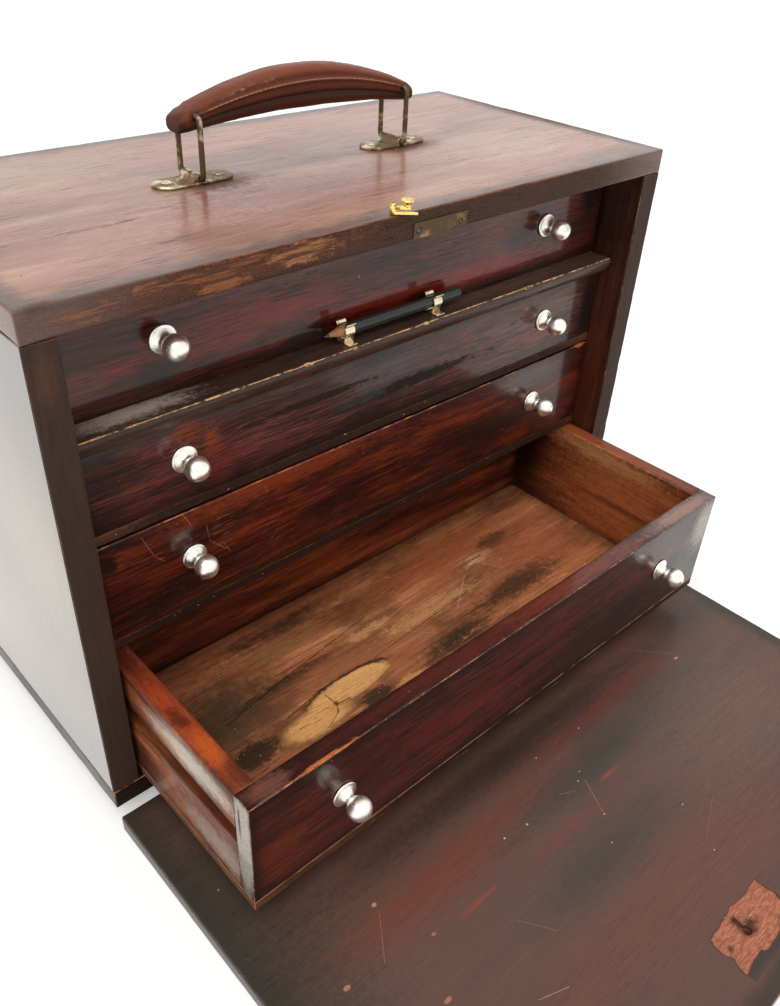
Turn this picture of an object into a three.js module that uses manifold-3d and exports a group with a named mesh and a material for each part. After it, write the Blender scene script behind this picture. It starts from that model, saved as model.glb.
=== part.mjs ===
// A carpenters tool chest: a low case with four drawers behind a drop front, and a folding handle on top.
// Millimetres, +Z up. X runs along the front and +Y from the front to the back. The origin is on the
// floor, under the middle of the whole part. The front is let down flat and the lowest drawer is out.
import * as THREE from 'three';
import { RoundedBoxGeometry } from 'three/addons/geometries/RoundedBoxGeometry.js';
import { mergeVertices } from 'three/addons/utils/BufferGeometryUtils.js';
import Module from 'manifold-3d';

const wasm = await Module();
wasm.setup();

// Case boards
const caseWidth = 450;
const caseDepth = 215;
const topThickness = 15.1;
const sideThickness = 16.6;
const bottomThickness = 14;
const backThickness = 8;
const boardArris = 0.9;
const widestArrisShare = 0.25;
const glueLine = 0.1;
const cutOverrun = 2;

// Bearers under the case
const bearerDepth = 28;
const bearerInset = 30;
const bearerEndInset = 26;

// Drawers, counted from the top
const topDrawerHeight = 67.5;
const secondDrawerHeight = 55.8;
const thirdDrawerHeight = 70.6;
const lowestDrawerHeight = 82.4;
const footGap = 0.7;
const drawerGap = 1.7;
const headGap = 1.3;
const drawerSideGap = 3.1;
const rearGap = 1;
const frontSetback = 20.4;
const drawerFrontThickness = 12.5;
const drawerSideThickness = 12.4;
const drawerBackThickness = 12;
const panelThickness = 6;
const lowestDrawerPull = 133;

// Pencil ledge under the front of the top drawer
const ledgeThickness = 9;
const ledgeProjection = 17.8;
const ledgeNoseSetback = 11.7;
const ledgeNoseRadius = 2.6;

// Runners and the grooves that ride on them
const runnerHeight = 12.4;
const runnerGap = 0.3;
const runnerStandOff = 3;
const grooveDepth = 6;
const runnerHeightShare = 0.58;

// Drawer knobs
const knobSpacing = 292;
const knobRise = 1.2;
const knobRoseRadius = 7.85;
const knobRoseEdge = 0.8;
const knobNeckRadius = 3.2;
const knobNeckStart = 4.6;
const knobBallRadius = 7;
const knobBallOut = 12.5;

// Pencil and its clips
const pencilRadius = 3.65;
const pencilLength = 107;
const pencilPointLength = 14;
const pencilLeadRadius = 1;
const pencilLeadLength = 3;
const pencilCentreX = 3;
const pencilLift = 7.2;
const pencilForward = 7.5;
const clipInset = 18.5;
const clipSpacing = pencilLength - 2 * clipInset;
const clipWidth = 6.8;
const clipStrip = 0.6;
const clipFit = 0.3;
const clipGrip = 35;
const clipFootReach = 7.1;
const clipFootBack = 4.2;
const clipNeckHalf = 2.9;
const clipNeckRise = 2.6;
const clipLipOut = 1.5;
const clipLipRise = 2.5;

// Drop front, its hinges and the traces of its lock
const flapThickness = 12;
const hingeAxisOut = 0.8;
const flapFaceDrop = 0.8;
const knuckleRadius = 2.3;
const knuckleClearance = 0.7;
const knuckleGap = 0.3;
const knuckleCount = 5;
const hingePinRadius = 1.1;
const hingeLength = 63;
const hingeInset = 35;
const leafThickness = 1.2;
const caseLeafDepth = 18;
const flapLeafMargin = 1.2;
const scarWidth = 53;
const scarHeight = 26;
const scarDepth = 0.8;
const scarEdgeInset = 16;
const keyholeRadius = 2.6;
const keyholeSlotWidth = 2.4;
const keyholeSlotLength = 9;
const keyholeShift = 4.5;

// Strike plate on the front edge of the top
const strikeWidth = 41;
const strikeHeight = 8.6;
const strikeThickness = 0.7;
const strikeCentreX = 13;
const strikeRise = 0.2;

// Turn catch at the front edge of the top
const catchX = -20;
const catchSetback = 3.2;
const catchRestAngle = 44;
const catchPinRadius = 0.9;
const catchPinHeadRadius = 1.5;
const catchPinHeadHeight = 0.7;
const catchBossRadius = 1.9;
const catchRunningGap = 0.3;
const catchHeight = 4.6;
const catchTongueLength = 13.2;
const catchTongueThickness = 1.3;
const catchTongueTip = 0.5;
const catchArmLength = 9.6;
const catchArmHalfWidth = 1.7;
const catchArmThickness = 1.6;
const catchKnobOut = 7.3;
const catchKnobStemRadius = 1.8;
const catchKnobStemHeight = 1.6;
const catchKnobRadius = 3.6;
const catchKnobHeight = 2;
const catchKnobDish = 0.6;

// Carrying handle
const handleX = 1.8;
const handleSetback = 110;
const handleSpan = 150.4;
const plateLength = 50;
const plateWidth = 18;
const plateThickness = 1.6;
const barrelRadius = 2.9;
const wireRadius = 1.6;
const wireBend = 3.4;
const wireClearance = 0.3;
const legSpacing = 23;
const legHeight = 32.5;
const footReach = 6;
const gripOverhang = 8;
const gripLength = handleSpan + 2 * gripOverhang;
const gripEndHalfWidth = 8.8;
const gripMidHalfWidth = 10.2;
const gripEndHalfHeight = 5;
const gripMidHalfHeight = 11.6;
const gripEndDrop = 4.4;
const gripRise = 11.8;

// Facets
const roundSides = 18;
const smallSides = 12;
const wireSides = 8;
const wireSteps = 56;
const arcSteps = 6;
const gripRings = 18;
const gripSides = 16;
const gripSquareness = 2.6;
const gripEndSquareness = 7;
const gripLastRingShare = 0.98;

// Materials
function finish(color, roughness, metalness = 0) {
  return new THREE.MeshStandardMaterial({ color, roughness, metalness });
}

const topWood = finish(0x8a564a, 0.38);
const caseWood = finish(0x4a2d25, 0.42);
const drawerWood = finish(0x5c2a22, 0.45);
const innerWood = finish(0x8a5a3a, 0.7);
const panelWood = finish(0x7a5a44, 0.75);
const pencilPaint = finish(0x2c332c, 0.35);
const leather = finish(0x6e3a2c, 0.45);
const nickel = finish(0xb9b2a6, 0.3, 1);
const wornBrass = finish(0xa08a5c, 0.4, 1);
const brightBrass = finish(0xd0a640, 0.28, 1);
const agedBrass = finish(0x6b5636, 0.5, 1);
const steel = finish(0x6a6660, 0.5, 1);

// Sizes that follow from the ones above
const drawerHeights = [topDrawerHeight, secondDrawerHeight, thirdDrawerHeight, lowestDrawerHeight];
const stackHeight = drawerHeights.reduce((sum, height) => sum + height, 0);
const openingHeight = footGap + stackHeight + drawerGap * (drawerHeights.length - 1) + headGap;
const caseHeight = bottomThickness + openingHeight + topThickness;
const openingHalfWidth = caseWidth / 2 - sideThickness;
const drawerHalfWidth = openingHalfWidth - drawerSideGap;
const drawerRear = caseDepth - backThickness - rearGap;
const hingeAxisDrop = knuckleRadius + knuckleClearance;
const caseLift = flapThickness + flapFaceDrop + hingeAxisDrop;
const flapNearEnd = -hingeAxisOut - hingeAxisDrop;
const flapFarEnd = flapNearEnd - caseHeight;
const flapInnerFace = -hingeAxisDrop - flapFaceDrop;
const topDrawerFront = ledgeNoseSetback + ledgeProjection;

// Everything hangs in one group whose origin is the foot of the case front
const chest = new THREE.Group();
chest.position.set(0, -(flapFarEnd + caseDepth) / 2, caseLift);

function addPiece(parent, name, geometry, material) {
  const mesh = new THREE.Mesh(geometry, material);
  mesh.name = name;
  parent.add(mesh);
  return mesh;
}

function addGroup(parent, x, y, z) {
  const group = new THREE.Group();
  group.position.set(x, y, z);
  parent.add(group);
  return group;
}

// The arris of a board, limited by its thickness
function arrisFor(thickness) {
  return Math.min(boardArris, thickness * widestArrisShare);
}

// A board between two corners, with slightly rounded arrises
function addBoard(parent, name, material, low, high) {
  const size = high.map((value, axis) => value - low[axis]);
  const radius = arrisFor(Math.min(...size));
  const geometry = new RoundedBoxGeometry(size[0], size[1], size[2], 1, radius);
  const mesh = addPiece(parent, name, geometry, material);
  mesh.position.set((low[0] + high[0]) / 2, (low[1] + high[1]) / 2, (low[2] + high[2]) / 2);
  return mesh;
}

// Solids for joining and cutting
function solidOf(geometry) {
  const bare = geometry.clone();
  bare.deleteAttribute('normal');
  bare.deleteAttribute('uv');
  const merged = mergeVertices(bare);
  const vertProperties = new Float32Array(merged.attributes.position.array);
  const triVerts = new Uint32Array(merged.index.array);
  return new wasm.Manifold(new wasm.Mesh({ numProp: 3, vertProperties, triVerts }));
}

function geometryOf(solid) {
  const result = solid.getMesh();
  const geometry = new THREE.BufferGeometry();
  geometry.setAttribute('position', new THREE.BufferAttribute(result.vertProperties, 3));
  geometry.setIndex(new THREE.BufferAttribute(result.triVerts, 1));
  geometry.computeVertexNormals();
  return geometry;
}

const join = (solids) => solids.reduce((whole, solid) => whole.add(solid));

// A plain block between two corners
function block(low, high) {
  const size = high.map((value, axis) => value - low[axis]);
  const geometry = new THREE.BoxGeometry(size[0], size[1], size[2]);
  geometry.translate((low[0] + high[0]) / 2, (low[1] + high[1]) / 2, (low[2] + high[2]) / 2);
  return geometry;
}

// A round bar along X, Y or Z, centred on a point
function bar(axis, radius, length, centre, sides = roundSides) {
  const geometry = new THREE.CylinderGeometry(radius, radius, length, sides);
  if (axis === 'x') geometry.rotateZ(Math.PI / 2);
  if (axis === 'z') geometry.rotateX(Math.PI / 2);
  geometry.translate(...centre);
  return geometry;
}

// An outline in the Y and Z directions, carried along X from one place to another
const outlineToSide = new THREE.Matrix4().makeBasis(
  new THREE.Vector3(0, 1, 0),
  new THREE.Vector3(0, 0, 1),
  new THREE.Vector3(1, 0, 0),
);
function sideExtrusion(shape, fromX, toX) {
  const options = { depth: toX - fromX, bevelEnabled: false, curveSegments: arcSteps };
  const geometry = new THREE.ExtrudeGeometry(shape, options);
  geometry.applyMatrix4(outlineToSide);
  geometry.translate(fromX, 0, 0);
  return geometry;
}

// An outline in the X and Z directions, carried along Y from the front to the rear
function lengthExtrusion(shape, fromY, toY) {
  const geometry = new THREE.ExtrudeGeometry(shape, { depth: toY - fromY, bevelEnabled: false });
  geometry.rotateX(Math.PI / 2);
  geometry.translate(0, toY, 0);
  return geometry;
}

// Case: the top laps over the sides, and the bottom lies under them
const left = -caseWidth / 2;
const right = caseWidth / 2;
const sideTop = caseHeight - topThickness - glueLine;
const sideFoot = bottomThickness + glueLine;
addBoard(chest, 'case_top', topWood, [left, 0, caseHeight - topThickness], [right, caseDepth, caseHeight]);
addBoard(chest, 'case_bottom', caseWood, [left, 0, 0], [right, caseDepth, bottomThickness]);
addBoard(chest, 'case_side_left', caseWood, [left, 0, sideFoot], [-openingHalfWidth, caseDepth, sideTop]);
addBoard(chest, 'case_side_right', caseWood, [openingHalfWidth, 0, sideFoot], [right, caseDepth, sideTop]);
addBoard(
  chest,
  'case_back',
  panelWood,
  [-openingHalfWidth + glueLine, caseDepth - backThickness, sideFoot],
  [openingHalfWidth - glueLine, caseDepth, sideTop],
);

// Bearers, as high as the open flap and its hinge ask
const bearerHalf = caseWidth / 2 - bearerEndInset;
const rearBearerStart = caseDepth - bearerInset - bearerDepth;
for (const [name, start] of [['bearer_front', bearerInset], ['bearer_rear', rearBearerStart]]) {
  const bearerRear = start + bearerDepth;
  addBoard(chest, name, caseWood, [-bearerHalf, start, -caseLift], [bearerHalf, bearerRear, -glueLine]);
}

// Outline of a drawer side, with its groove in the face that the sign points to
function groovedOutline(sign, height, grooveFoot, grooveTop) {
  const outer = sign * drawerHalfWidth;
  const inner = sign * (drawerHalfWidth - drawerSideThickness);
  const floor = sign * (drawerHalfWidth - grooveDepth);
  const arris = arrisFor(drawerSideThickness);
  const outline = new THREE.Shape();
  outline.moveTo(inner, arris);
  outline.lineTo(inner + sign * arris, 0);
  outline.lineTo(outer - sign * arris, 0);
  outline.lineTo(outer, arris);
  outline.lineTo(outer, grooveFoot);
  outline.lineTo(floor, grooveFoot);
  outline.lineTo(floor, grooveTop);
  outline.lineTo(outer, grooveTop);
  outline.lineTo(outer, height - arris);
  outline.lineTo(outer - sign * arris, height);
  outline.lineTo(inner + sign * arris, height);
  outline.lineTo(inner, height - arris);
  return outline;
}

// Outline of a knob from its foot to the front of its ball
function knobProfile() {
  const points = [new THREE.Vector2(0, 0), new THREE.Vector2(knobRoseRadius, 0)];
  for (let step = 0; step <= arcSteps; step += 1) {
    const turn = (step / arcSteps) * (Math.PI / 2);
    const radius = knobRoseRadius - (knobRoseRadius - knobNeckRadius) * Math.sin(turn);
    const out = knobRoseEdge + (knobNeckStart - knobRoseEdge) * (1 - Math.cos(turn));
    points.push(new THREE.Vector2(radius, out));
  }
  const neckTurn = Math.asin(Math.min(1, knobNeckRadius / knobBallRadius));
  const ballSteps = arcSteps + 2;
  for (let step = 0; step < ballSteps; step += 1) {
    const turn = Math.PI - neckTurn - (step / ballSteps) * (Math.PI - neckTurn);
    const out = knobBallOut + knobBallRadius * Math.cos(turn);
    points.push(new THREE.Vector2(knobBallRadius * Math.sin(turn), out));
  }
  points.push(new THREE.Vector2(0, knobBallOut + knobBallRadius));
  return points;
}

function addKnob(parent, name, x, frontY, z) {
  const geometry = new THREE.LatheGeometry(knobProfile(), roundSides);
  geometry.rotateZ(Math.PI);
  addPiece(parent, name, geometry, nickel).position.set(x, frontY - glueLine, z);
}

// One drawer: its group stands where the drawer stands, with heights counted from its own underside
function addDrawer(number, underside, height, front, baseThickness, pull) {
  const drawer = addGroup(chest, 0, -pull, underside);
  const name = `drawer_${number}`;
  const frontBack = front + drawerFrontThickness;
  const wallStart = frontBack + glueLine;
  const wallFoot = panelThickness + glueLine;
  const innerHalf = drawerHalfWidth - drawerSideThickness - glueLine;
  const panelStart = baseThickness === panelThickness ? front : wallStart;
  addBoard(
    drawer,
    `${name}_front`,
    drawerWood,
    [-drawerHalfWidth, front, baseThickness + glueLine],
    [drawerHalfWidth, frontBack, height],
  );
  const knobHeight = (baseThickness + height) / 2 + knobRise;
  const sideHeight = height - wallFoot;
  const runnerCentre = sideHeight * runnerHeightShare;
  const grooveFoot = runnerCentre - runnerHeight / 2 - runnerGap;
  const grooveTop = runnerCentre + runnerHeight / 2 + runnerGap;
  for (const [side, sign] of [['left', -1], ['right', 1]]) {
    const outline = groovedOutline(sign, sideHeight, grooveFoot, grooveTop);
    const geometry = lengthExtrusion(outline, wallStart, drawerRear);
    addPiece(drawer, `${name}_side_${side}`, geometry, innerWood).position.set(0, 0, wallFoot);
    addKnob(drawer, `${name}_knob_${side}`, (sign * knobSpacing) / 2, front, knobHeight);
    const runnerInner = sign * (drawerHalfWidth - grooveDepth + runnerGap);
    const runnerOuter = sign * (openingHalfWidth - glueLine);
    const runnerFoot = underside + wallFoot + runnerCentre - runnerHeight / 2;
    addBoard(
      chest,
      `runner_${number}_${side}`,
      innerWood,
      [Math.min(runnerInner, runnerOuter), frontBack + runnerStandOff, runnerFoot],
      [Math.max(runnerInner, runnerOuter), drawerRear, runnerFoot + runnerHeight],
    );
  }
  addBoard(
    drawer,
    `${name}_back`,
    innerWood,
    [-innerHalf, drawerRear - drawerBackThickness, wallFoot],
    [innerHalf, drawerRear, height],
  );
  addBoard(
    drawer,
    `${name}_bottom`,
    panelWood,
    [-drawerHalfWidth, panelStart, 0],
    [drawerHalfWidth, drawerRear, panelThickness],
  );
  return drawer;
}

// The stack of drawers, from the top down
let drawerTop = caseHeight - topThickness - headGap;
const drawers = drawerHeights.map((height, index) => {
  const isTop = index === 0;
  const isLowest = index === drawerHeights.length - 1;
  const front = isTop ? topDrawerFront : frontSetback;
  const baseThickness = isTop ? ledgeThickness : panelThickness;
  const pull = isLowest ? lowestDrawerPull : 0;
  const drawer = addDrawer(index + 1, drawerTop - height, height, front, baseThickness, pull);
  drawerTop -= height + drawerGap;
  return drawer;
});
const topDrawer = drawers[0];

// Pencil ledge: its round nose stands in front of the top drawer, and its rear lies under the drawer front
const ledgeRear = topDrawerFront + drawerFrontThickness;
const noseRadius = Math.min(ledgeNoseRadius, ledgeThickness / 2);
const ledgeOutline = new THREE.Shape();
ledgeOutline.moveTo(ledgeRear, 0);
ledgeOutline.lineTo(ledgeRear, ledgeThickness);
ledgeOutline.lineTo(ledgeNoseSetback + noseRadius, ledgeThickness);
ledgeOutline.absarc(
  ledgeNoseSetback + noseRadius,
  ledgeThickness - noseRadius,
  noseRadius,
  Math.PI / 2,
  Math.PI,
  false,
);
ledgeOutline.lineTo(ledgeNoseSetback + noseRadius, 0);
const ledgeGeometry = sideExtrusion(ledgeOutline, -drawerHalfWidth, drawerHalfWidth);
addPiece(topDrawer, 'pencil_ledge', ledgeGeometry, drawerWood);

// Spring clip: a strip bent into two arms that close on the pencil, over a flat foot
const pencilY = topDrawerFront - pencilForward;
const pencilZ = ledgeThickness + pencilLift;
const clipRadius = pencilRadius + clipFit + clipStrip / 2;
const clipFloor = ledgeThickness + glueLine + clipStrip / 2 - pencilZ;

function clipCentreline() {
  const arm = [];
  arm.push(new THREE.Vector2(clipNeckHalf - clipStrip, clipFloor));
  arm.push(new THREE.Vector2(clipNeckHalf, clipFloor + clipNeckRise));
  for (let step = 0; step <= arcSteps; step += 1) {
    const turn = THREE.MathUtils.degToRad(clipGrip * ((2 * step) / arcSteps - 1));
    arm.push(new THREE.Vector2(clipRadius * Math.cos(turn), clipRadius * Math.sin(turn)));
  }
  const last = arm[arm.length - 1];
  arm.push(new THREE.Vector2(last.x + clipLipOut, last.y + clipLipRise));
  const mirrored = arm.map((point) => new THREE.Vector2(-point.x, point.y)).reverse();
  return [...mirrored, ...arm];
}

// A strip of even thickness along a line of points, as a closed outline
function stripOutline(points, thickness) {
  const offsets = points.map((point, index) => {
    const before = points[Math.max(index - 1, 0)];
    const after = points[Math.min(index + 1, points.length - 1)];
    const along = new THREE.Vector2().subVectors(after, before).normalize();
    return new THREE.Vector2(-along.y, along.x).multiplyScalar(thickness / 2);
  });
  const upper = points.map((point, index) => point.clone().add(offsets[index]));
  const lower = points.map((point, index) => point.clone().sub(offsets[index])).reverse();
  return new THREE.Shape([...upper, ...lower]);
}

for (const [side, sign] of [['left', -1], ['right', 1]]) {
  const spring = sideExtrusion(stripOutline(clipCentreline(), clipStrip), -clipWidth / 2, clipWidth / 2);
  const foot = block(
    [-clipWidth / 2, -clipFootReach, clipFloor - clipStrip / 2],
    [clipWidth / 2, clipFootBack, clipFloor + clipStrip / 2],
  );
  const clipGeometry = geometryOf(join([solidOf(spring), solidOf(foot)]));
  const clip = addPiece(topDrawer, `pencil_clip_${side}`, clipGeometry, nickel);
  clip.position.set((sign * clipSpacing) / 2, pencilY, pencilZ);
}

// Pencil, with its point towards the left
const pencilProfile = [
  new THREE.Vector2(0, -pencilLength / 2),
  new THREE.Vector2(pencilLeadRadius, pencilLeadLength - pencilLength / 2),
  new THREE.Vector2(pencilRadius, pencilPointLength - pencilLength / 2),
  new THREE.Vector2(pencilRadius, pencilLength / 2),
  new THREE.Vector2(0, pencilLength / 2),
];
const pencilGeometry = new THREE.LatheGeometry(pencilProfile, roundSides);
pencilGeometry.rotateZ(-Math.PI / 2);
addPiece(topDrawer, 'pencil', pencilGeometry, pencilPaint).position.set(pencilCentreX, pencilY, pencilZ);

// Drop front, open on the floor, with the shallow scar and the keyhole of its lost lock
const flapFoot = flapInnerFace - flapThickness;
const flapArris = arrisFor(flapThickness);
const flapBoard = new RoundedBoxGeometry(caseWidth, caseHeight, flapThickness, 1, flapArris);
flapBoard.translate(0, (flapNearEnd + flapFarEnd) / 2, flapInnerFace - flapThickness / 2);
const scarNear = flapFarEnd + scarEdgeInset + scarHeight;
const scarCut = block(
  [-scarWidth / 2, flapFarEnd + scarEdgeInset, flapInnerFace - scarDepth],
  [scarWidth / 2, scarNear, flapInnerFace + cutOverrun],
);
const keyholeY = scarNear - scarHeight / 2;
const keyholeDepth = flapThickness + 2 * cutOverrun;
const keyholeMiddle = flapInnerFace - flapThickness / 2;
const keyholeCentre = [-keyholeShift, keyholeY, keyholeMiddle];
const keyholeRound = bar('z', keyholeRadius, keyholeDepth, keyholeCentre, smallSides);
const keyholeSlot = block(
  [-keyholeShift - keyholeSlotWidth / 2, keyholeY, flapFoot - cutOverrun],
  [-keyholeShift + keyholeSlotWidth / 2, keyholeY + keyholeSlotLength, flapInnerFace + cutOverrun],
);
const flapCuts = [scarCut, keyholeRound, keyholeSlot].map(solidOf);
const flapSolid = flapCuts.reduce((rest, cut) => rest.subtract(cut), solidOf(flapBoard));
addPiece(chest, 'flap', geometryOf(flapSolid), caseWood);

// Butt hinges: the case leaf carries the pin, and the flap leaf turns on it
const axisY = -hingeAxisOut;
const axisZ = -hingeAxisDrop;
const knucklePitch = hingeLength / knuckleCount;
const leafTop = -glueLine;
const leafFoot = -glueLine - leafThickness;

function knuckleSpan(startX, index) {
  const fromX = startX + index * knucklePitch + knuckleGap / 2;
  const toX = startX + (index + 1) * knucklePitch - knuckleGap / 2;
  return [fromX, toX];
}

function knuckle(fromX, toX) {
  return bar('x', knuckleRadius, toX - fromX, [(fromX + toX) / 2, axisY, axisZ], smallSides);
}

function caseLeaf(startX) {
  const clearOfFlap = axisY + knuckleRadius + knuckleClearance;
  const plate = block([startX, clearOfFlap, leafFoot], [startX + hingeLength, caseLeafDepth, leafTop]);
  const solids = [solidOf(plate)];
  for (let index = 0; index < knuckleCount; index += 2) {
    const [fromX, toX] = knuckleSpan(startX, index);
    solids.push(solidOf(knuckle(fromX, toX)));
    solids.push(solidOf(block([fromX, axisY, leafFoot], [toX, clearOfFlap + leafThickness, leafTop])));
    solids.push(solidOf(block([fromX, axisY, axisZ], [toX, axisY + leafThickness, leafTop])));
  }
  const pinLength = hingeLength - knuckleGap;
  const pinCentre = [startX + hingeLength / 2, axisY, axisZ];
  solids.push(solidOf(bar('x', hingePinRadius, pinLength, pinCentre, smallSides)));
  return join(solids);
}

function flapLeaf(startX) {
  const plateBack = flapNearEnd + glueLine;
  const plateFace = plateBack + leafThickness;
  const plateTop = axisZ - knuckleRadius - knuckleClearance;
  const plateFoot = flapFoot + flapLeafMargin;
  const plate = block([startX, plateBack, plateFoot], [startX + hingeLength, plateFace, plateTop]);
  const solids = [solidOf(plate)];
  for (let index = 1; index < knuckleCount; index += 2) {
    const [fromX, toX] = knuckleSpan(startX, index);
    solids.push(solidOf(knuckle(fromX, toX)));
    solids.push(solidOf(block([fromX, plateBack, plateTop - leafThickness], [toX, plateFace, axisZ])));
    solids.push(solidOf(block([fromX, plateBack, axisZ - leafThickness], [toX, axisY, axisZ])));
  }
  const boreLength = hingeLength + 2 * cutOverrun;
  const boreCentre = [startX + hingeLength / 2, axisY, axisZ];
  const bore = bar('x', hingePinRadius + knuckleGap, boreLength, boreCentre, smallSides);
  return join(solids).subtract(solidOf(bore));
}

for (const [side, startX] of [['left', left + hingeInset], ['right', right - hingeInset - hingeLength]]) {
  addPiece(chest, `hinge_case_leaf_${side}`, geometryOf(caseLeaf(startX)), steel);
  addPiece(chest, `hinge_flap_leaf_${side}`, geometryOf(flapLeaf(startX)), steel);
}

// Strike plate of the lost lock, on the front edge of the top
const strikeFoot = caseHeight - topThickness + strikeRise;
addBoard(
  chest,
  'strike_plate',
  agedBrass,
  [strikeCentreX - strikeWidth / 2, -glueLine - strikeThickness, strikeFoot],
  [strikeCentreX + strikeWidth / 2, -glueLine, strikeFoot + strikeHeight],
);

// Turn catch: a lever with a tongue, an arm and a knob, turning on an upright pin
const turnCatch = addGroup(chest, catchX, catchSetback, caseHeight + glueLine);
const pinHeight = catchHeight + catchRunningGap;
const pinShaft = bar('z', catchPinRadius, pinHeight, [0, 0, pinHeight / 2], smallSides);
const pinHeadZ = pinHeight + catchPinHeadHeight / 2;
const pinHead = bar('z', catchPinHeadRadius, catchPinHeadHeight, [0, 0, pinHeadZ], smallSides);
addPiece(turnCatch, 'catch_pivot', geometryOf(join([solidOf(pinShaft), solidOf(pinHead)])), brightBrass);

const bossHeight = catchHeight - catchRunningGap;
const boss = bar('z', catchBossRadius, bossHeight, [0, 0, catchRunningGap + bossHeight / 2], roundSides);
const tongueOutline = new THREE.Shape();
tongueOutline.moveTo(0, -catchBossRadius);
tongueOutline.lineTo(catchTongueLength, -catchTongueTip);
tongueOutline.lineTo(catchTongueLength, catchTongueTip);
tongueOutline.lineTo(0, catchBossRadius);
const tongue = new THREE.ExtrudeGeometry(tongueOutline, { depth: catchTongueThickness, bevelEnabled: false });
tongue.translate(0, 0, catchRunningGap);
const armOutline = new THREE.Shape();
const armEnd = catchArmLength - catchArmHalfWidth;
armOutline.moveTo(0, -catchArmHalfWidth);
armOutline.lineTo(armEnd, -catchArmHalfWidth);
armOutline.absarc(armEnd, 0, catchArmHalfWidth, -Math.PI / 2, Math.PI / 2, false);
armOutline.lineTo(0, catchArmHalfWidth);
const arm = new THREE.ExtrudeGeometry(armOutline, {
  depth: catchArmThickness,
  bevelEnabled: false,
  curveSegments: arcSteps,
});
arm.translate(0, 0, catchHeight - catchArmThickness);
const stemTop = catchHeight + catchKnobStemHeight;
const catchKnobProfile = [
  new THREE.Vector2(0, catchHeight - catchArmThickness / 2),
  new THREE.Vector2(catchKnobStemRadius, catchHeight - catchArmThickness / 2),
  new THREE.Vector2(catchKnobStemRadius, stemTop),
  new THREE.Vector2(catchKnobRadius, stemTop + catchKnobHeight / 2),
  new THREE.Vector2(catchKnobRadius, stemTop + catchKnobHeight),
  new THREE.Vector2(catchKnobStemRadius, stemTop + catchKnobHeight),
  new THREE.Vector2(0, stemTop + catchKnobHeight - catchKnobDish),
];
const catchKnob = new THREE.LatheGeometry(catchKnobProfile, roundSides);
catchKnob.rotateX(Math.PI / 2);
catchKnob.translate(catchKnobOut, 0, 0);
const leverBoreLength = catchHeight + 2 * cutOverrun;
const leverBoreRadius = catchPinRadius + catchRunningGap;
const leverBore = bar('z', leverBoreRadius, leverBoreLength, [0, 0, catchHeight / 2], smallSides);
const leverSolid = join([boss, tongue, arm, catchKnob].map(solidOf)).subtract(solidOf(leverBore));
const lever = addPiece(turnCatch, 'catch_lever', geometryOf(leverSolid), brightBrass);
lever.rotation.z = -THREE.MathUtils.degToRad(catchRestAngle);

// Handle plates, each with a raised barrel that takes the feet of its bail
const handle = addGroup(chest, handleX, handleSetback, caseHeight + glueLine);

function handlePlate() {
  const half = plateLength / 2 - plateWidth / 2;
  const outline = new THREE.Shape();
  outline.moveTo(-half, -plateWidth / 2);
  outline.lineTo(half, -plateWidth / 2);
  outline.absarc(half, 0, plateWidth / 2, -Math.PI / 2, Math.PI / 2, false);
  outline.lineTo(-half, plateWidth / 2);
  outline.absarc(-half, 0, plateWidth / 2, Math.PI / 2, -Math.PI / 2, false);
  const plate = new THREE.ExtrudeGeometry(outline, {
    depth: plateThickness,
    bevelEnabled: false,
    curveSegments: 2 * arcSteps,
  });
  const barrel = bar('y', barrelRadius, plateWidth, [0, 0, barrelRadius]);
  const boreLength = plateWidth + 2 * cutOverrun;
  const bore = bar('y', wireRadius + wireClearance, boreLength, [0, 0, barrelRadius], smallSides);
  return solidOf(plate).add(solidOf(barrel)).subtract(solidOf(bore));
}

// Bail: one bent wire, from one foot in the barrel, over the top and down to the other foot
function bailWire() {
  const reach = legSpacing / 2;
  const footEnd = plateWidth / 2 - footReach;
  const corners = [
    new THREE.Vector3(0, -footEnd, 0),
    new THREE.Vector3(0, -reach, 0),
    new THREE.Vector3(0, -reach, legHeight),
    new THREE.Vector3(0, reach, legHeight),
    new THREE.Vector3(0, reach, 0),
    new THREE.Vector3(0, footEnd, 0),
  ];
  const path = new THREE.CurvePath();
  let start = corners[0];
  for (let index = 1; index < corners.length - 1; index += 1) {
    const corner = corners[index];
    const before = corner.clone().sub(corners[index - 1]).setLength(wireBend);
    const after = corners[index + 1].clone().sub(corner).setLength(wireBend);
    const bendStart = corner.clone().sub(before);
    const bendEnd = corner.clone().add(after);
    path.add(new THREE.LineCurve3(start, bendStart));
    path.add(new THREE.QuadraticBezierCurve3(bendStart, corner, bendEnd));
    start = bendEnd;
  }
  path.add(new THREE.LineCurve3(start, corners[corners.length - 1]));
  const section = new THREE.Shape();
  section.absarc(0, 0, wireRadius, 0, 2 * Math.PI, false);
  const options = { steps: wireSteps, extrudePath: path, curveSegments: wireSides / 2 };
  return new THREE.ExtrudeGeometry(section, options);
}

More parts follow.
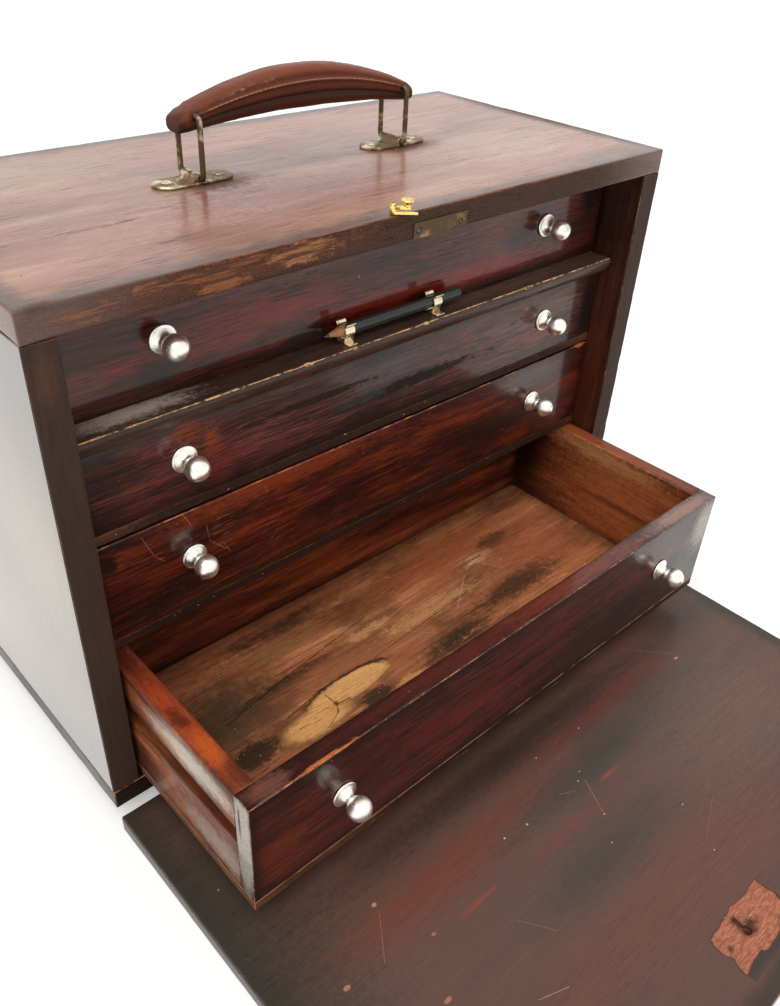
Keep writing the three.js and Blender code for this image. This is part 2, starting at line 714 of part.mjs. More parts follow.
// Grip: rounded square sections that swell and rise towards the middle
function gripLoft() {
  const positions = [];
  const indices = [];
  for (let ring = 0; ring <= gripRings; ring += 1) {
    const place = Math.sin((Math.PI / 2) * gripLastRingShare * ((2 * ring) / gripRings - 1));
    const swell = 1 - place * place;
    const close = (1 - Math.abs(place) ** gripEndSquareness) ** (1 / gripEndSquareness);
    const halfWidth = (gripEndHalfWidth + (gripMidHalfWidth - gripEndHalfWidth) * swell) * close;
    const halfHeight = (gripEndHalfHeight + (gripMidHalfHeight - gripEndHalfHeight) * swell) * close;
    for (let side = 0; side < gripSides; side += 1) {
      const turn = (side / gripSides) * 2 * Math.PI;
      const across = Math.sign(Math.cos(turn)) * Math.abs(Math.cos(turn)) ** (2 / gripSquareness);
      const up = Math.sign(Math.sin(turn)) * Math.abs(Math.sin(turn)) ** (2 / gripSquareness);
      positions.push((place * gripLength) / 2, halfWidth * across, gripRise * swell + halfHeight * up);
    }
  }
  for (let ring = 0; ring < gripRings; ring += 1) {
    for (let side = 0; side < gripSides; side += 1) {
      const next = (side + 1) % gripSides;
      const here = ring * gripSides;
      const there = here + gripSides;
      indices.push(here + side, there + next, there + side, here + side, here + next, there + next);
    }
  }
  const lastRing = gripRings * gripSides;
  for (let side = 1; side < gripSides - 1; side += 1) {
    indices.push(0, side + 1, side);
    indices.push(lastRing, lastRing + side, lastRing + side + 1);
  }
  const geometry = new THREE.BufferGeometry();
  geometry.setAttribute('position', new THREE.Float32BufferAttribute(positions, 3));
  geometry.setIndex(indices);
  return geometry;
}

const barZ = barrelRadius + legHeight;
const gripSolid = solidOf(gripLoft());
const gripHoles = [-1, 1].map((sign) => {
  const length = 2 * gripMidHalfWidth + 2 * cutOverrun;
  const centre = [(sign * handleSpan) / 2, 0, gripEndDrop];
  return solidOf(bar('y', wireRadius + wireClearance, length, centre, smallSides));
});
const grip = gripHoles.reduce((rest, hole) => rest.subtract(hole), gripSolid);
addPiece(handle, 'handle_grip', geometryOf(grip), leather).position.set(0, 0, barZ - gripEndDrop);
for (const [side, sign] of [['left', -1], ['right', 1]]) {
  const x = (sign * handleSpan) / 2;
  addPiece(handle, `handle_plate_${side}`, geometryOf(handlePlate()), wornBrass).position.set(x, 0, 0);
  addPiece(handle, `bail_${side}`, bailWire(), wornBrass).position.set(x, 0, barrelRadius);
}

export default chest;
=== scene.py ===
import math

import bpy
import numpy as np
from mathutils import Matrix, Vector


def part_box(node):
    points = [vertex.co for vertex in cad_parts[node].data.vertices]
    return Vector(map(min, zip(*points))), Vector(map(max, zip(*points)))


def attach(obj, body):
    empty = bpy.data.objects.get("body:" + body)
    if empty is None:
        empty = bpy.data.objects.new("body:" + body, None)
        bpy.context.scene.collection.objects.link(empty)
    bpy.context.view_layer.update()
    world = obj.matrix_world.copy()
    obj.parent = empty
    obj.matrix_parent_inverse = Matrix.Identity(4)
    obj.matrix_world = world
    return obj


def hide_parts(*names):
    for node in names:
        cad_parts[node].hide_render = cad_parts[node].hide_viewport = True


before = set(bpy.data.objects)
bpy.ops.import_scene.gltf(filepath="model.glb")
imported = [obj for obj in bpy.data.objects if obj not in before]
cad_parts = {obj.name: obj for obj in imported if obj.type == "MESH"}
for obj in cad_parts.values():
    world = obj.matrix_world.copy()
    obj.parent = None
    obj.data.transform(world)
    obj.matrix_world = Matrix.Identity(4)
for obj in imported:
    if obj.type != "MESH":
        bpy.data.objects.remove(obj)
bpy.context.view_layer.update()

mm = 0.001  # shapes are worked out in millimetres and stored in metres
print("frame loaded")


# Numbers and noise

def boxOf(node):  # lowest and highest corner of a CAD node, in millimetres
    low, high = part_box(node)
    return np.array(low) / mm, np.array(high) / mm


# Middle of a box = half the sum of its low and high corners
def middleOf(low, high):
    return (low + high) / 2


def srgb(red, green, blue):  # a colour given 0 to 255, made linear by the sRGB curve
    shares = np.array([red, green, blue]) / 255
    linear = np.where(shares <= 0.04045, shares / 12.92, ((shares + 0.055) / 1.055) ** 2.4)
    return (*[float(value) for value in linear], 1.0)


# Smooth noise from 0 to 1: a fixed random value at each corner of a lattice,
# mixed across the cell with weights 3t^2 - 2t^3 along each axis
def valueNoise(points, size, seed=0):
    place = np.asarray(points, dtype=float) / size + 1000
    cell = np.floor(place).astype(np.int64)
    step = place - cell
    step = step * step * (3 - 2 * step)
    total = np.zeros(place.shape[:-1])
    for corner in range(8):
        shift = np.array([corner & 1, corner >> 1 & 1, corner >> 2 & 1])
        spot = cell + shift
        code = spot[..., 0] * 73856093 ^ spot[..., 1] * 19349663 ^ spot[..., 2] * 83492791 ^ seed * 97531
        code = code & 0xFFFFFFFF
        code = (code ^ code >> 13) * 1274126177 & 0xFFFFFFFF
        value = ((code ^ code >> 16) % 65536) / 65535
        total += value * np.prod(np.where(shift, step, 1 - step), axis=-1)
    return total


def smoothStep(value, start, end):  # 0 at start, 1 at end, flat at both
    share = np.clip((value - start) / (end - start), 0, 1)
    return share * share * (3 - 2 * share)


def unit(vectors):  # a vector divided by its length
    return vectors / np.linalg.norm(vectors, axis=-1, keepdims=True)


def ringTurns(sides):  # equal steps round a full turn
    return np.arange(sides) * 2 * np.pi / sides


def squareTo(axis):  # two directions square to an axis and to each other
    helper = np.array([1.0, 0, 0]) if abs(axis[0]) < 0.9 else np.array([0, 1.0, 0])
    first = unit(np.cross(helper, axis))
    return first, np.cross(axis, first)


def bendPoints(start, corner, end, share):  # a parabola from start to end that heads for the corner
    return (1 - share) ** 2 * start + 2 * share * (1 - share) * corner + share ** 2 * end


# Shells: closed bodies as (points, faces, attributes)

# Six times the volume, as the sum of the triple products of each face's fan
def shellVolume(points, faces):
    total = 0.0
    for group in faces:
        corners = points[group]
        for index in range(1, group.shape[1] - 1):
            crossed = np.cross(corners[:, index], corners[:, index + 1])
            total += np.einsum("ij,ij->", corners[:, 0], crossed)
    return total


def facedOut(points, faces):  # turns every face round when the volume comes out negative
    centred = points - points.mean(axis=0)
    if shellVolume(centred, faces) < 0:
        faces = [group[:, ::-1] for group in faces]
    return faces


def makeMesh(name, shells):  # every point keeps the attributes that its shell gives it
    points, faces, offset = [], [], 0
    names = sorted({key for shell in shells for key in shell[2]})
    values = {key: [] for key in names}
    for shellPoints, shellFaces, extras in shells:
        for group in facedOut(shellPoints, shellFaces):
            faces.extend((group + offset).tolist())
        points.append(shellPoints)
        for key in names:
            values[key].append(np.broadcast_to(extras.get(key, 0.0), len(shellPoints)))
        offset += len(shellPoints)
    mesh = bpy.data.meshes.new(name)
    mesh.from_pydata((np.vstack(points) * mm).tolist(), [], faces)
    for key in names:
        layer = mesh.attributes.new(key, "FLOAT", "POINT")
        layer.data.foreach_set("value", np.concatenate(values[key]).astype(np.float32))
    mesh.polygons.foreach_set("use_smooth", np.full(len(mesh.polygons), True))
    mesh.update()
    return mesh


def addObject(name, data):  # puts a mesh into the scene
    thing = bpy.data.objects.new(name, data)
    bpy.context.scene.collection.objects.link(thing)
    return thing


def addPiece(name, shells, material, body, replaces=()):
    piece = addObject(name, shells if isinstance(shells, bpy.types.Mesh) else makeMesh(name, shells))
    piece.data.materials.append(material)
    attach(piece, body)
    if replaces:
        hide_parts(*replaces)
    return piece


def gridFaces(rows, columns, closed=True):  # quads between neighbours of a grid whose columns may wrap round
    row = np.arange(rows - 1)[:, None] * columns
    column = np.arange(columns if closed else columns - 1)
    here, beside = row + column, row + (column + 1) % columns
    return np.stack([here, beside, beside + columns, here + columns], -1).reshape(-1, 4)


def tubeFaces(rows, sides):  # a tube of rings, with its first and last ring closed
    ring = np.arange(sides)[None]
    return [gridFaces(rows, sides), ring[:, ::-1], (rows - 1) * sides + ring]


# A worn board. Points on the box, crowded near its arrises, are pulled to the nearest point of the
# box shrunk by r, then pushed out again by r: flat faces stay, arrises turn round, and a chip is a longer r
def boardShell(low, high, look, seed):
    low, high = np.array(low, dtype=float), np.array(high, dtype=float)
    size = high - low
    zone = np.array([0, 0.2, 0.45, 0.8, 1.3, 2.0, 3.0])
    marks = []
    for axis in range(3):
        near = zone[zone < size[axis] * 0.4]
        step = look["step"] if axis == look["along"] else look["across"]
        count = max(int((size[axis] - 2 * near[-1]) / step), 1)
        inner = np.linspace(low[axis] + near[-1], high[axis] - near[-1], count + 1)[1:-1]
        marks.append(np.concatenate([low[axis] + near, inner, (high[axis] - near)[::-1]]))
    counts = [len(mark) for mark in marks]
    quads = []
    for axis in range(3):
        first, second = [other for other in range(3) if other != axis]
        a, b = np.meshgrid(np.arange(counts[first]), np.arange(counts[second]), indexing="ij")
        for side in (0, counts[axis] - 1):
            index = [None] * 3
            index[axis], index[first], index[second] = np.full_like(a, side), a, b
            number = (index[0] * counts[1] + index[1]) * counts[2] + index[2]
            square = np.stack([number[:-1, :-1], number[1:, :-1], number[1:, 1:], number[:-1, 1:]], -1)
            turned = (side == 0) != (axis == 1)
            quads.append((square[..., ::-1] if turned else square).reshape(-1, 4))
    used, faces = np.unique(np.concatenate(quads), return_inverse=True)
    places = np.unravel_index(used, tuple(counts))
    points = np.stack([mark[place] for mark, place in zip(marks, places)], -1)
    rough = valueNoise(points, 7.0, seed)
    chip = smoothStep(valueNoise(points, look["chipLength"], seed + 5), 1 - look["chipShare"], 1.0)
    chip = chip * (0.4 + 0.6 * valueNoise(points, 1.8, seed + 9))
    radius = look["arris"] * (0.65 + 0.7 * rough) + look["chipDepth"] * chip
    radius = np.minimum(radius, size.min() * 0.3)[:, None]
    inner = np.clip(points, low + radius, high - radius)
    away = points - inner
    shaped = inner + radius * unit(away)
    toFace = np.sort(np.minimum(points - low, high - points), axis=1)
    extras = {
        "arris": toFace[:, 1],
        "chip": chip * smoothStep(toFace[:, 1], look["chipDepth"] * chip + 1.2, 0),
        "seed": float(seed),
    }
    return shaped, [faces.reshape(-1, 4)], extras


boardLook = {"along": 0, "step": 3.0, "across": 12.0, "arris": 0.8, "chipLength": 9.0, "chipShare": 0.3,
             "chipDepth": 1.2}


def addBoard(node, material, body, slot, seed, **changes):  # a worn board in the place of a CAD one
    low, high = boxOf(node)
    shell = boardShell(low, high, {**boardLook, **changes}, seed)
    addPiece(node + "_worn", [shell], material, body, [node])


# An outline whose corners are turned by the curve of bendPoints, with A and B one radius back and on from
# the corner C; long runs are split, and each point keeps its distance to a corner
def roundedOutline(corners, radius, steps=3, longest=9.0):
    corners = np.array(corners, dtype=float)
    before, after = np.roll(corners, 1, axis=0), np.roll(corners, -1, axis=0)
    points, distances = [], []
    for index, corner in enumerate(corners):
        ahead = after[index] - corner
        start = corner + unit(before[index] - corner) * radius
        end = corner + unit(ahead) * radius
        bend = bendPoints(start, corner, end, np.linspace(0, 1, steps + 1)[:, None])
        points.extend(bend)
        distances.extend(np.linalg.norm(bend - corner, axis=1))
        run = np.linalg.norm(ahead) - 2 * radius
        pieces = int(run / longest)
        for piece in range(1, pieces + 1):
            part = piece / (pieces + 1)
            points.append(end + unit(ahead) * run * part)
            distances.append(radius + run * min(part, 1 - part))
    return np.array(points), np.array(distances)


# Outward normals of a closed outline, square to the line from one neighbour of a point to the other
def outlineNormals(outline):
    ahead = np.roll(outline, -1, axis=0) - np.roll(outline, 1, axis=0)
    normals = unit(np.stack([ahead[:, 1], -ahead[:, 0]], -1))
    area = np.sum(outline[:, 0] * np.roll(outline[:, 1], -1) - np.roll(outline[:, 0], -1) * outline[:, 1])
    return normals if area > 0 else -normals


# An outline carried straight along one axis. Near each end it draws in by r - sqrt(r^2 - (r-e)^2),
# with e the distance to the end, so the end arrises are round as well
def carriedShell(outline, distances, axis, start, end, arris, step=3.0, seed=0):
    near = arris * np.array([0, 0.15, 0.4, 0.7, 1.0])
    count = max(int((end - start - 2 * arris) / step), 1)
    stations = np.concatenate([start + near, np.linspace(start + arris, end - arris, count + 1)[1:-1],
                               (end - near)[::-1]])
    toEnd = np.minimum(stations - start, end - stations)
    inset = arris - np.sqrt(np.maximum(arris ** 2 - np.maximum(arris - toEnd, 0) ** 2, 0))
    normals = outlineNormals(outline)
    flat = outline[None] - inset[:, None, None] * normals[None]
    others = [other for other in range(3) if other != axis]
    points = np.zeros((len(stations), len(outline), 3))
    points[..., axis] = stations[:, None]
    points[..., others] = flat
    reach = np.minimum(distances, toEnd[:, None]).ravel()
    extras = {"arris": reach, "chip": 0.0, "seed": float(seed)}
    return points.reshape(-1, 3), tubeFaces(*points.shape[:2]), extras


# A profile of (radius, height) turned about an axis one long: x = r cos t, y = r sin t, z = height
def turnedShell(profile, centre, axis=(0, 0, 1), sides=48, seed=0):
    profile = np.array(profile, dtype=float)
    axis = np.array(axis, dtype=float)
    first, second = squareTo(axis)
    turn = ringTurns(sides)
    ring = np.cos(turn)[:, None] * first + np.sin(turn)[:, None] * second
    centre = np.array(centre, dtype=float)
    hasFoot, hasTip = profile[0, 0] == 0, profile[-1, 0] == 0
    rings = profile[hasFoot:len(profile) - hasTip]
    points = centre + rings[:, 0, None, None] * ring[None] + rings[:, 1, None, None] * axis
    rows = len(rings)
    points = points.reshape(-1, 3)
    faces = [gridFaces(rows, sides)]
    around = np.arange(sides)
    if hasFoot:
        points = np.vstack([points, centre + profile[0, 1] * axis])
        foot = np.full(sides, len(points) - 1)
        faces.append(np.stack([foot, np.roll(around, -1), around], -1))
    else:
        faces.append(around[None, ::-1])
    lastRow = (rows - 1) * sides
    if hasTip:
        points = np.vstack([points, centre + profile[-1, 1] * axis])
        tip = np.full(sides, len(points) - 1)
        faces.append(np.stack([tip, lastRow + around, lastRow + np.roll(around, -1)], -1))
    else:
        faces.append(lastRow + around[None])
    return points, faces, {"seed": float(seed)}


# A round wire: circles of the wire's radius square to a path that lies in one plane
def wireShell(path, radius, planeNormal, sides=20):
    path = np.array(path, dtype=float)
    flat = np.array(planeNormal, dtype=float)
    side = unit(np.cross(unit(np.gradient(path, axis=0)), flat))
    turn = ringTurns(sides)[:, None]
    radius = np.broadcast_to(radius, len(path))[:, None, None]
    points = path[:, None] + radius * (np.cos(turn) * side[:, None] + np.sin(turn) * flat)
    return points.reshape(-1, 3), tubeFaces(len(path), sides), {"seed": 0.0}


# A path through corners whose bends are the curve of bendPoints
def bentPath(corners, bend, spacing=1.0):
    corners = np.array(corners, dtype=float)
    places = [corners[0]]
    for before, corner, after in zip(corners, corners[1:], corners[2:]):
        start = corner + unit(before - corner) * bend
        end = corner + unit(after - corner) * bend
        count = max(int(np.linalg.norm(start - places[-1]) / spacing), 1)
        places.extend(np.linspace(places[-1], start, count + 1)[1:])
        places.extend(bendPoints(start, corner, end, np.linspace(0, 1, 9)[1:, None]))
    count = max(int(np.linalg.norm(corners[-1] - places[-1]) / spacing), 1)
    places.extend(np.linspace(places[-1], corners[-1], count + 1)[1:])
    return np.array(places)


# Settings for a screw with a head of this radius; the slot grows with the head
screwLook = {"radius": 3.0, "dome": 0.55, "slotHalfWidth": 0.5, "slotDepth": 0.9, "rings": 14, "sides": 36,
             "foot": 0.8, "middle": 0.06, "rimGrimeAndShade": 0.86}


# A slotted screw head: a low dome, height h(1 - (r/R)^2), sunk where the slot crosses it
def screwShell(centre, axis, radius, slotTurn):
    rings, sides, scale = screwLook["rings"], screwLook["sides"], radius / screwLook["radius"]
    share = np.linspace(screwLook["middle"], 1, rings)[:, None]
    turn = ringTurns(sides)
    across = share * radius * np.sin(turn + slotTurn)
    half = screwLook["slotHalfWidth"] * scale
    slot = smoothStep(np.abs(across), half * 1.35, half * 0.9)
    height = screwLook["dome"] * (1 - share ** 2) - screwLook["slotDepth"] * slot * scale
    # the slot and the rim of the head are darkened: dirt with painted shade
    grime = np.maximum(slot, smoothStep(share, screwLook["rimGrimeAndShade"], 1.0))
    axis, centre = np.array(axis, dtype=float), np.array(centre, dtype=float)
    first, second = squareTo(axis)
    flat = np.cos(turn)[:, None] * first + np.sin(turn)[:, None] * second
    top = centre + (share * radius)[..., None] * flat + height[..., None] * axis
    foot = centre + radius * flat - screwLook["foot"] * axis
    points = np.vstack([top.reshape(-1, 3), foot])
    grime = np.concatenate([grime.ravel(), np.ones(sides)])
    return points, tubeFaces(rings + 1, sides), {"seed": 0.0, "slot": grime}


# Nodes

# One node tree being built; a socket takes a number as it is and another socket as a link
class NodeTree:
    def __init__(self, raw):
        self.raw = raw

    def fill(self, node, inputs):  # links or sets each named input, and gives the outputs back
        for key, value in inputs.items():
            if isinstance(value, bpy.types.NodeSocket):
                self.raw.links.new(value, node.inputs[key])
            else:
                node.inputs[key].default_value = value
        return node.outputs

    def add(self, kind, inputs=None, **settings):  # a shader node with its settings and inputs
        node = self.raw.nodes.new("ShaderNode" + kind)
        for key, value in settings.items():
            setattr(node, key, value)
        return self.fill(node, inputs or {})

    def calc(self, operation, first, second=0.0, clamp=False):  # one sum of two numbers
        return self.add("Math", {0: first, 1: second}, operation=operation, use_clamp=clamp)[0]

    def plus(self, first, second, clamp=False):  # a + b
        return self.calc("ADD", first, second, clamp)

    def minus(self, first, second, clamp=False):  # a - b
        return self.calc("SUBTRACT", first, second, clamp)

    def times(self, first, second):  # a b
        return self.calc("MULTIPLY", first, second)

    def centred(self, value, factor):  # factor (value - 0.5)
        return self.times(self.minus(value, 0.5), factor)

    def vector(self, operation, first, second=(0, 0, 0)):  # one sum of two vectors
        outputs = self.add("VectorMath", {0: first, 1: second}, operation=operation)
        return outputs[1] if operation in ("LENGTH", "DOT_PRODUCT") else outputs[0]

    def scaled(self, vector, scale):  # s v
        return self.add("VectorMath", {0: vector, "Scale": scale}, operation="SCALE")[0]

    def turned(self, vector, degrees):  # v turned about x, y and z
        angles = [math.radians(angle) for angle in degrees]
        return self.add("Mapping", {"Vector": vector, "Rotation": angles})[0]

    def mix(self, share, first, second):  # a + share (b - a), for colours
        return self.add("Mix", {0: share, 6: first, 7: second}, data_type="RGBA")[2]

    def mixNumber(self, share, first, second):  # a + share (b - a)
        return self.add("Mix", {0: share, 2: first, 3: second})[0]

    def fade(self, value, start, end, low=0.0, high=1.0):  # a smooth change from low at start to high at end
        inputs = {"Value": value, "From Min": start, "From Max": end, "To Min": low, "To Max": high}
        return self.add("MapRange", inputs, interpolation_type="SMOOTHSTEP")[0]

    def noise(self, vector, scale=1.0, detail=3.0, rough=0.5, stretch=None):  # fractal noise, 0 to 1
        if stretch:
            vector = self.vector("MULTIPLY", vector, stretch)
        inputs = {"Vector": vector, "Scale": scale, "Detail": detail, "Roughness": rough}
        return self.add("TexNoise", inputs)[0]

    def attribute(self, name):  # the value that a point carries under this name
        return self.add("Attribute", attribute_name=name)["Fac"]

    def bump(self, height, distance):  # normal tilted by the slope of a height
        return self.add("Bump", {"Height": height, "Distance": distance, "Strength": 1.0})[0]

    def use(self, group, inputs):  # one shared effect
        return self.add("Group", inputs, node_tree=group)


def newGroup(name, inputs, outputs):  # an input is a kind of socket, or the usual value of a number
    group = bpy.data.node_groups.new(name, "ShaderNodeTree")
    for label, value in inputs.items():
        isNumber = isinstance(value, float)
        kind = "NodeSocket" + ("Float" if isNumber else value)
        socket = group.interface.new_socket(label, in_out="INPUT", socket_type=kind)
        if isNumber:
            socket.default_value = value
    for label, kind in outputs.items():
        group.interface.new_socket(label, in_out="OUTPUT", socket_type="NodeSocket" + kind)
    given = group.nodes.new("NodeGroupInput").outputs
    return NodeTree(group), given, group.nodes.new("NodeGroupOutput")


# Shared effects

# Mahogany figure with the grain along X: broad bands, fibres and short dark pores
tree, given, out = newGroup(
    "woodGrain",
    {"Vector": "Vector", "Dark": "Color", "Middle": "Color", "Light": "Color", "Pore Colour": "Color",
     "Figure": 1.0, "Fibres": 1.0, "Pores": 0.5, "Pore Scale": 1.0},
    {"Colour": "Color", "Height": "Float", "Pores": "Float"},
)
grainGroup = tree.raw
bend = tree.centred(tree.noise(given["Vector"], 1.0, 2.0, stretch=(7, 16, 16)), 0.016)
shift = tree.add("CombineXYZ", {0: 0.0, 1: bend, 2: bend})[0]
bent = tree.vector("ADD", given["Vector"], shift)
broad = tree.noise(bent, 1.0, 5.0, 0.6, (5, 60, 60))
fibre = tree.noise(bent, 1.0, 4.0, 0.6, (26, 620, 620))
hair = tree.noise(bent, 1.0, 2.0, 0.5, (60, 2400, 2400))
poreField = tree.noise(bent, given["Pore Scale"], 2.0, 0.6, (75, 1500, 1500))
poreGate = tree.fade(tree.noise(bent, 1.0, 4.0, 0.6, (11, 60, 60)), 0.4, 0.6)
pores = tree.times(tree.fade(poreField, 0.57, 0.66), tree.times(poreGate, given["Pores"]))
banded = tree.centred(broad, tree.times(given["Figure"], 2.4))
fibred = tree.centred(fibre, tree.times(given["Fibres"], 1.4))
haired = tree.centred(hair, tree.times(given["Fibres"], 0.8))
tone = tree.plus(tree.plus(banded, fibred), tree.plus(haired, 0.5), clamp=True)
lowTone = tree.mix(tree.fade(tone, 0.0, 0.5), given["Dark"], given["Middle"])
fullTone = tree.mix(tree.fade(tone, 0.5, 1.0), lowTone, given["Light"])
relief = tree.minus(tree.plus(tree.times(fibre, 0.5), tree.times(hair, 0.2)), pores)
tree.fill(out, {"Colour": tree.mix(pores, fullTone, given["Pore Colour"]), "Height": relief, "Pores": pores})

# Wear along an arris: a thin bare line that widens here and there, and behind it grime with painted shade
# that darkens towards the arris
tree, given, out = newGroup(
    "edgeWear",
    {"Vector": "Vector", "Arris": 9.0, "Chip": 0.0, "Width": 1.0, "Least": 0.1, "Reach": 10.0},
    {"Bare": "Float", "Grime And Shade": "Float"},
)
wearGroup = tree.raw
fine = tree.noise(given["Vector"], 1100.0, 3.0, 0.7, (0.3, 1, 1))
slow = tree.noise(given["Vector"], 60.0, 4.0, 0.65)
limit = tree.times(given["Width"], tree.fade(slow, 0.34, 0.74, given["Least"], 1.5))
edge = tree.plus(given["Arris"], tree.centred(fine, given["Width"]))
bare = tree.fade(tree.minus(limit, edge), 0.0, 0.2)
chipped = tree.fade(tree.plus(given["Chip"], tree.times(fine, 0.4)), 0.55, 0.75)
soft = tree.plus(given["Arris"], tree.centred(slow, given["Reach"]))
grime = tree.fade(tree.calc("DIVIDE", soft, given["Reach"]), 1.0, 0.2)
tree.fill(out, {"Bare": tree.calc("MAXIMUM", bare, chipped), "Grime And Shade": grime})

# One ragged patch: 1 inside an ellipsoid, its rim broken by clouds and by streaks along the grain
tree, given, out = newGroup(
    "wearPatch",
    {"Vector": "Vector", "Grain": "Vector", "Centre": "Vector", "Radius": "Vector", "Ragged": 0.8,
     "Streaks": 0.6, "Cover": 1.0, "Soft": 0.3, "Scale": 70.0},
    {"Mask": "Float"},
)
patchGroup = tree.raw
away = tree.vector("DIVIDE", tree.vector("SUBTRACT", given["Vector"], given["Centre"]), given["Radius"])
clouds = tree.centred(tree.noise(given["Vector"], given["Scale"], 5.0, 0.65), given["Ragged"])
lines = tree.noise(given["Grain"], 1.0, 5.0, 0.7, (55, 760, 760))
covered = tree.fade(tree.plus(lines, given["Cover"]), 0.94, 1.06)
rim = tree.plus(clouds, tree.centred(lines, given["Streaks"]))
distance = tree.plus(tree.vector("LENGTH", away), rim)
inside = tree.fade(tree.minus(1.0, distance), 0.0, given["Soft"])
tree.fill(out, {"Mask": tree.times(inside, covered)})

# Hair scratches: contour lines of a noise drawn far out along X, shown only here and there
tree, given, out = newGroup(
    "scratches", {"Vector": "Vector", "Fineness": 1.0, "Share": 0.5}, {"Mask": "Float"})
scratchGroup = tree.raw
sized = tree.scaled(given["Vector"], given["Fineness"])
contour = tree.minus(tree.noise(sized, 1.0, 0.0, 0.4, (4, 240, 240)), 0.5)
lines = tree.fade(tree.calc("ABSOLUTE", contour), 0.012, 0.002)
gate = tree.noise(sized, 1.0, 3.0, 0.6, (26, 90, 90))
start = tree.minus(0.74, tree.times(given["Share"], 0.3))
gate = tree.fade(tree.minus(gate, start), 0.0, 0.06)
tree.fill(out, {"Mask": tree.times(lines, gate)})

# One straight scratch: 1 where the distance to the segment from Start to End is under Width
tree, given, out = newGroup(
    "straightScratch", {"Vector": "Vector", "Start": "Vector", "End": "Vector", "Width": 0.0002},
    {"Mask": "Float"})
lineGroup = tree.raw
along = tree.vector("SUBTRACT", given["End"], given["Start"])
fromStart = tree.vector("SUBTRACT", given["Vector"], given["Start"])
product = tree.vector("DOT_PRODUCT", fromStart, along)
share = tree.calc("DIVIDE", product, tree.vector("DOT_PRODUCT", along, along), clamp=True)
apart = tree.vector("LENGTH", tree.vector("SUBTRACT", fromStart, tree.scaled(along, share)))
broken = tree.fade(tree.noise(given["Vector"], 700.0, 3.0, 0.6), 0.3, 0.55, 0.25, 1.0)
reach = tree.times(given["Width"], broken)
tree.fill(out, {"Mask": tree.fade(tree.calc("DIVIDE", apart, reach), 1.0, 0.5)})

# Small dents: the middles of a few cells of a Voronoi pattern, pulled out of shape
tree, given, out = newGroup(
    "nicks", {"Vector": "Vector", "Scale": 90.0, "Share": 0.1, "Size": 0.16}, {"Mask": "Float"})
nickGroup = tree.raw
wobble = tree.add("TexNoise", {"Vector": given["Vector"], "Scale": 700.0, "Detail": 2.0})[1]
wobbled = tree.vector("ADD", given["Vector"], tree.vector("MULTIPLY", wobble, (0.003, 0.003, 0.003)))
cells = tree.add("TexVoronoi", {"Vector": wobbled, "Scale": given["Scale"]})
picked = tree.add("SeparateColor", {0: cells["Color"]})
chosen = tree.calc("LESS_THAN", picked[0], given["Share"])
width = tree.times(given["Size"], tree.plus(0.3, picked[1]))
spot = tree.fade(tree.minus(width, cells["Distance"]), 0.0, 0.03)
tree.fill(out, {"Mask": tree.times(spot, chosen)})

# Smears and dullness in a polish or on metal
tree, given, out = newGroup(
    "smears", {"Vector": "Vector", "Scale": 20.0, "Low": 0.2, "High": 0.5},
    {"Roughness": "Float", "Height": "Float"})
smearGroup = tree.raw
cloud = tree.noise(given["Vector"], given["Scale"], 5.0, 0.6)
mixed = tree.plus(tree.times(cloud, 0.8), tree.times(tree.noise(given["Vector"], 900.0, 2.0, 0.5), 0.2))
ranges = {"Value": mixed, "From Min": 0.3, "From Max": 0.7, "To Min": given["Low"], "To Max": given["High"]}
tree.fill(out, {"Roughness": tree.add("MapRange", ranges)[0], "Height": cloud})
print("shared effects built")


# Materials

def startMaterial(name):  # an empty material with its shader and its place in millimetres
    material = bpy.data.materials.new(name)
    material.use_nodes = True
    raw = material.node_tree
    raw.nodes.clear()
    tree = NodeTree(raw)
    shader = raw.nodes.new("ShaderNodeBsdfPrincipled")
    tree.add("OutputMaterial", {0: shader.outputs[0]})
    return material, tree, shader, tree.add("TexCoord")["Object"]


# A located patch on the finished object, centre and radius in millimetres; small patches get finer clouds
def patchMask(tree, place, grainPlace, centre, radius, ragged, soft, streaks, cover=1.0):
    return tree.use(patchGroup, {
        "Vector": place, "Grain": grainPlace, "Centre": Vector(centre) * mm, "Radius": Vector(radius) * mm,
        "Ragged": ragged, "Soft": soft, "Streaks": streaks, "Cover": cover,
        "Scale": min(2600 / min(radius), 260.0)})["Mask"]


# Rows that lie on one face: the face's level goes into each place, and a depth into each radius
def onFace(axis, level, depth, rows):
    placed = []
    for kind, shade, strength, centre, radius, *form in rows:
        centre = (*centre[:axis], level, *centre[axis:])
        radius = (*radius[:axis], depth, *radius[axis:])
        placed.append((kind, shade, strength, centre, radius, *form))
    return placed


def linesOn(axis, level, rows):  # straight scratches (start, end, width, colour) on one face
    return [((*start[:axis], level, *start[axis:]), (*end[:axis], level, *end[axis:]), width, shade)
            for start, end, width, shade in rows]


grainTurns = {"x": (0, 0, 0), "y": (0, 0, 90), "z": (0, 90, 0)}

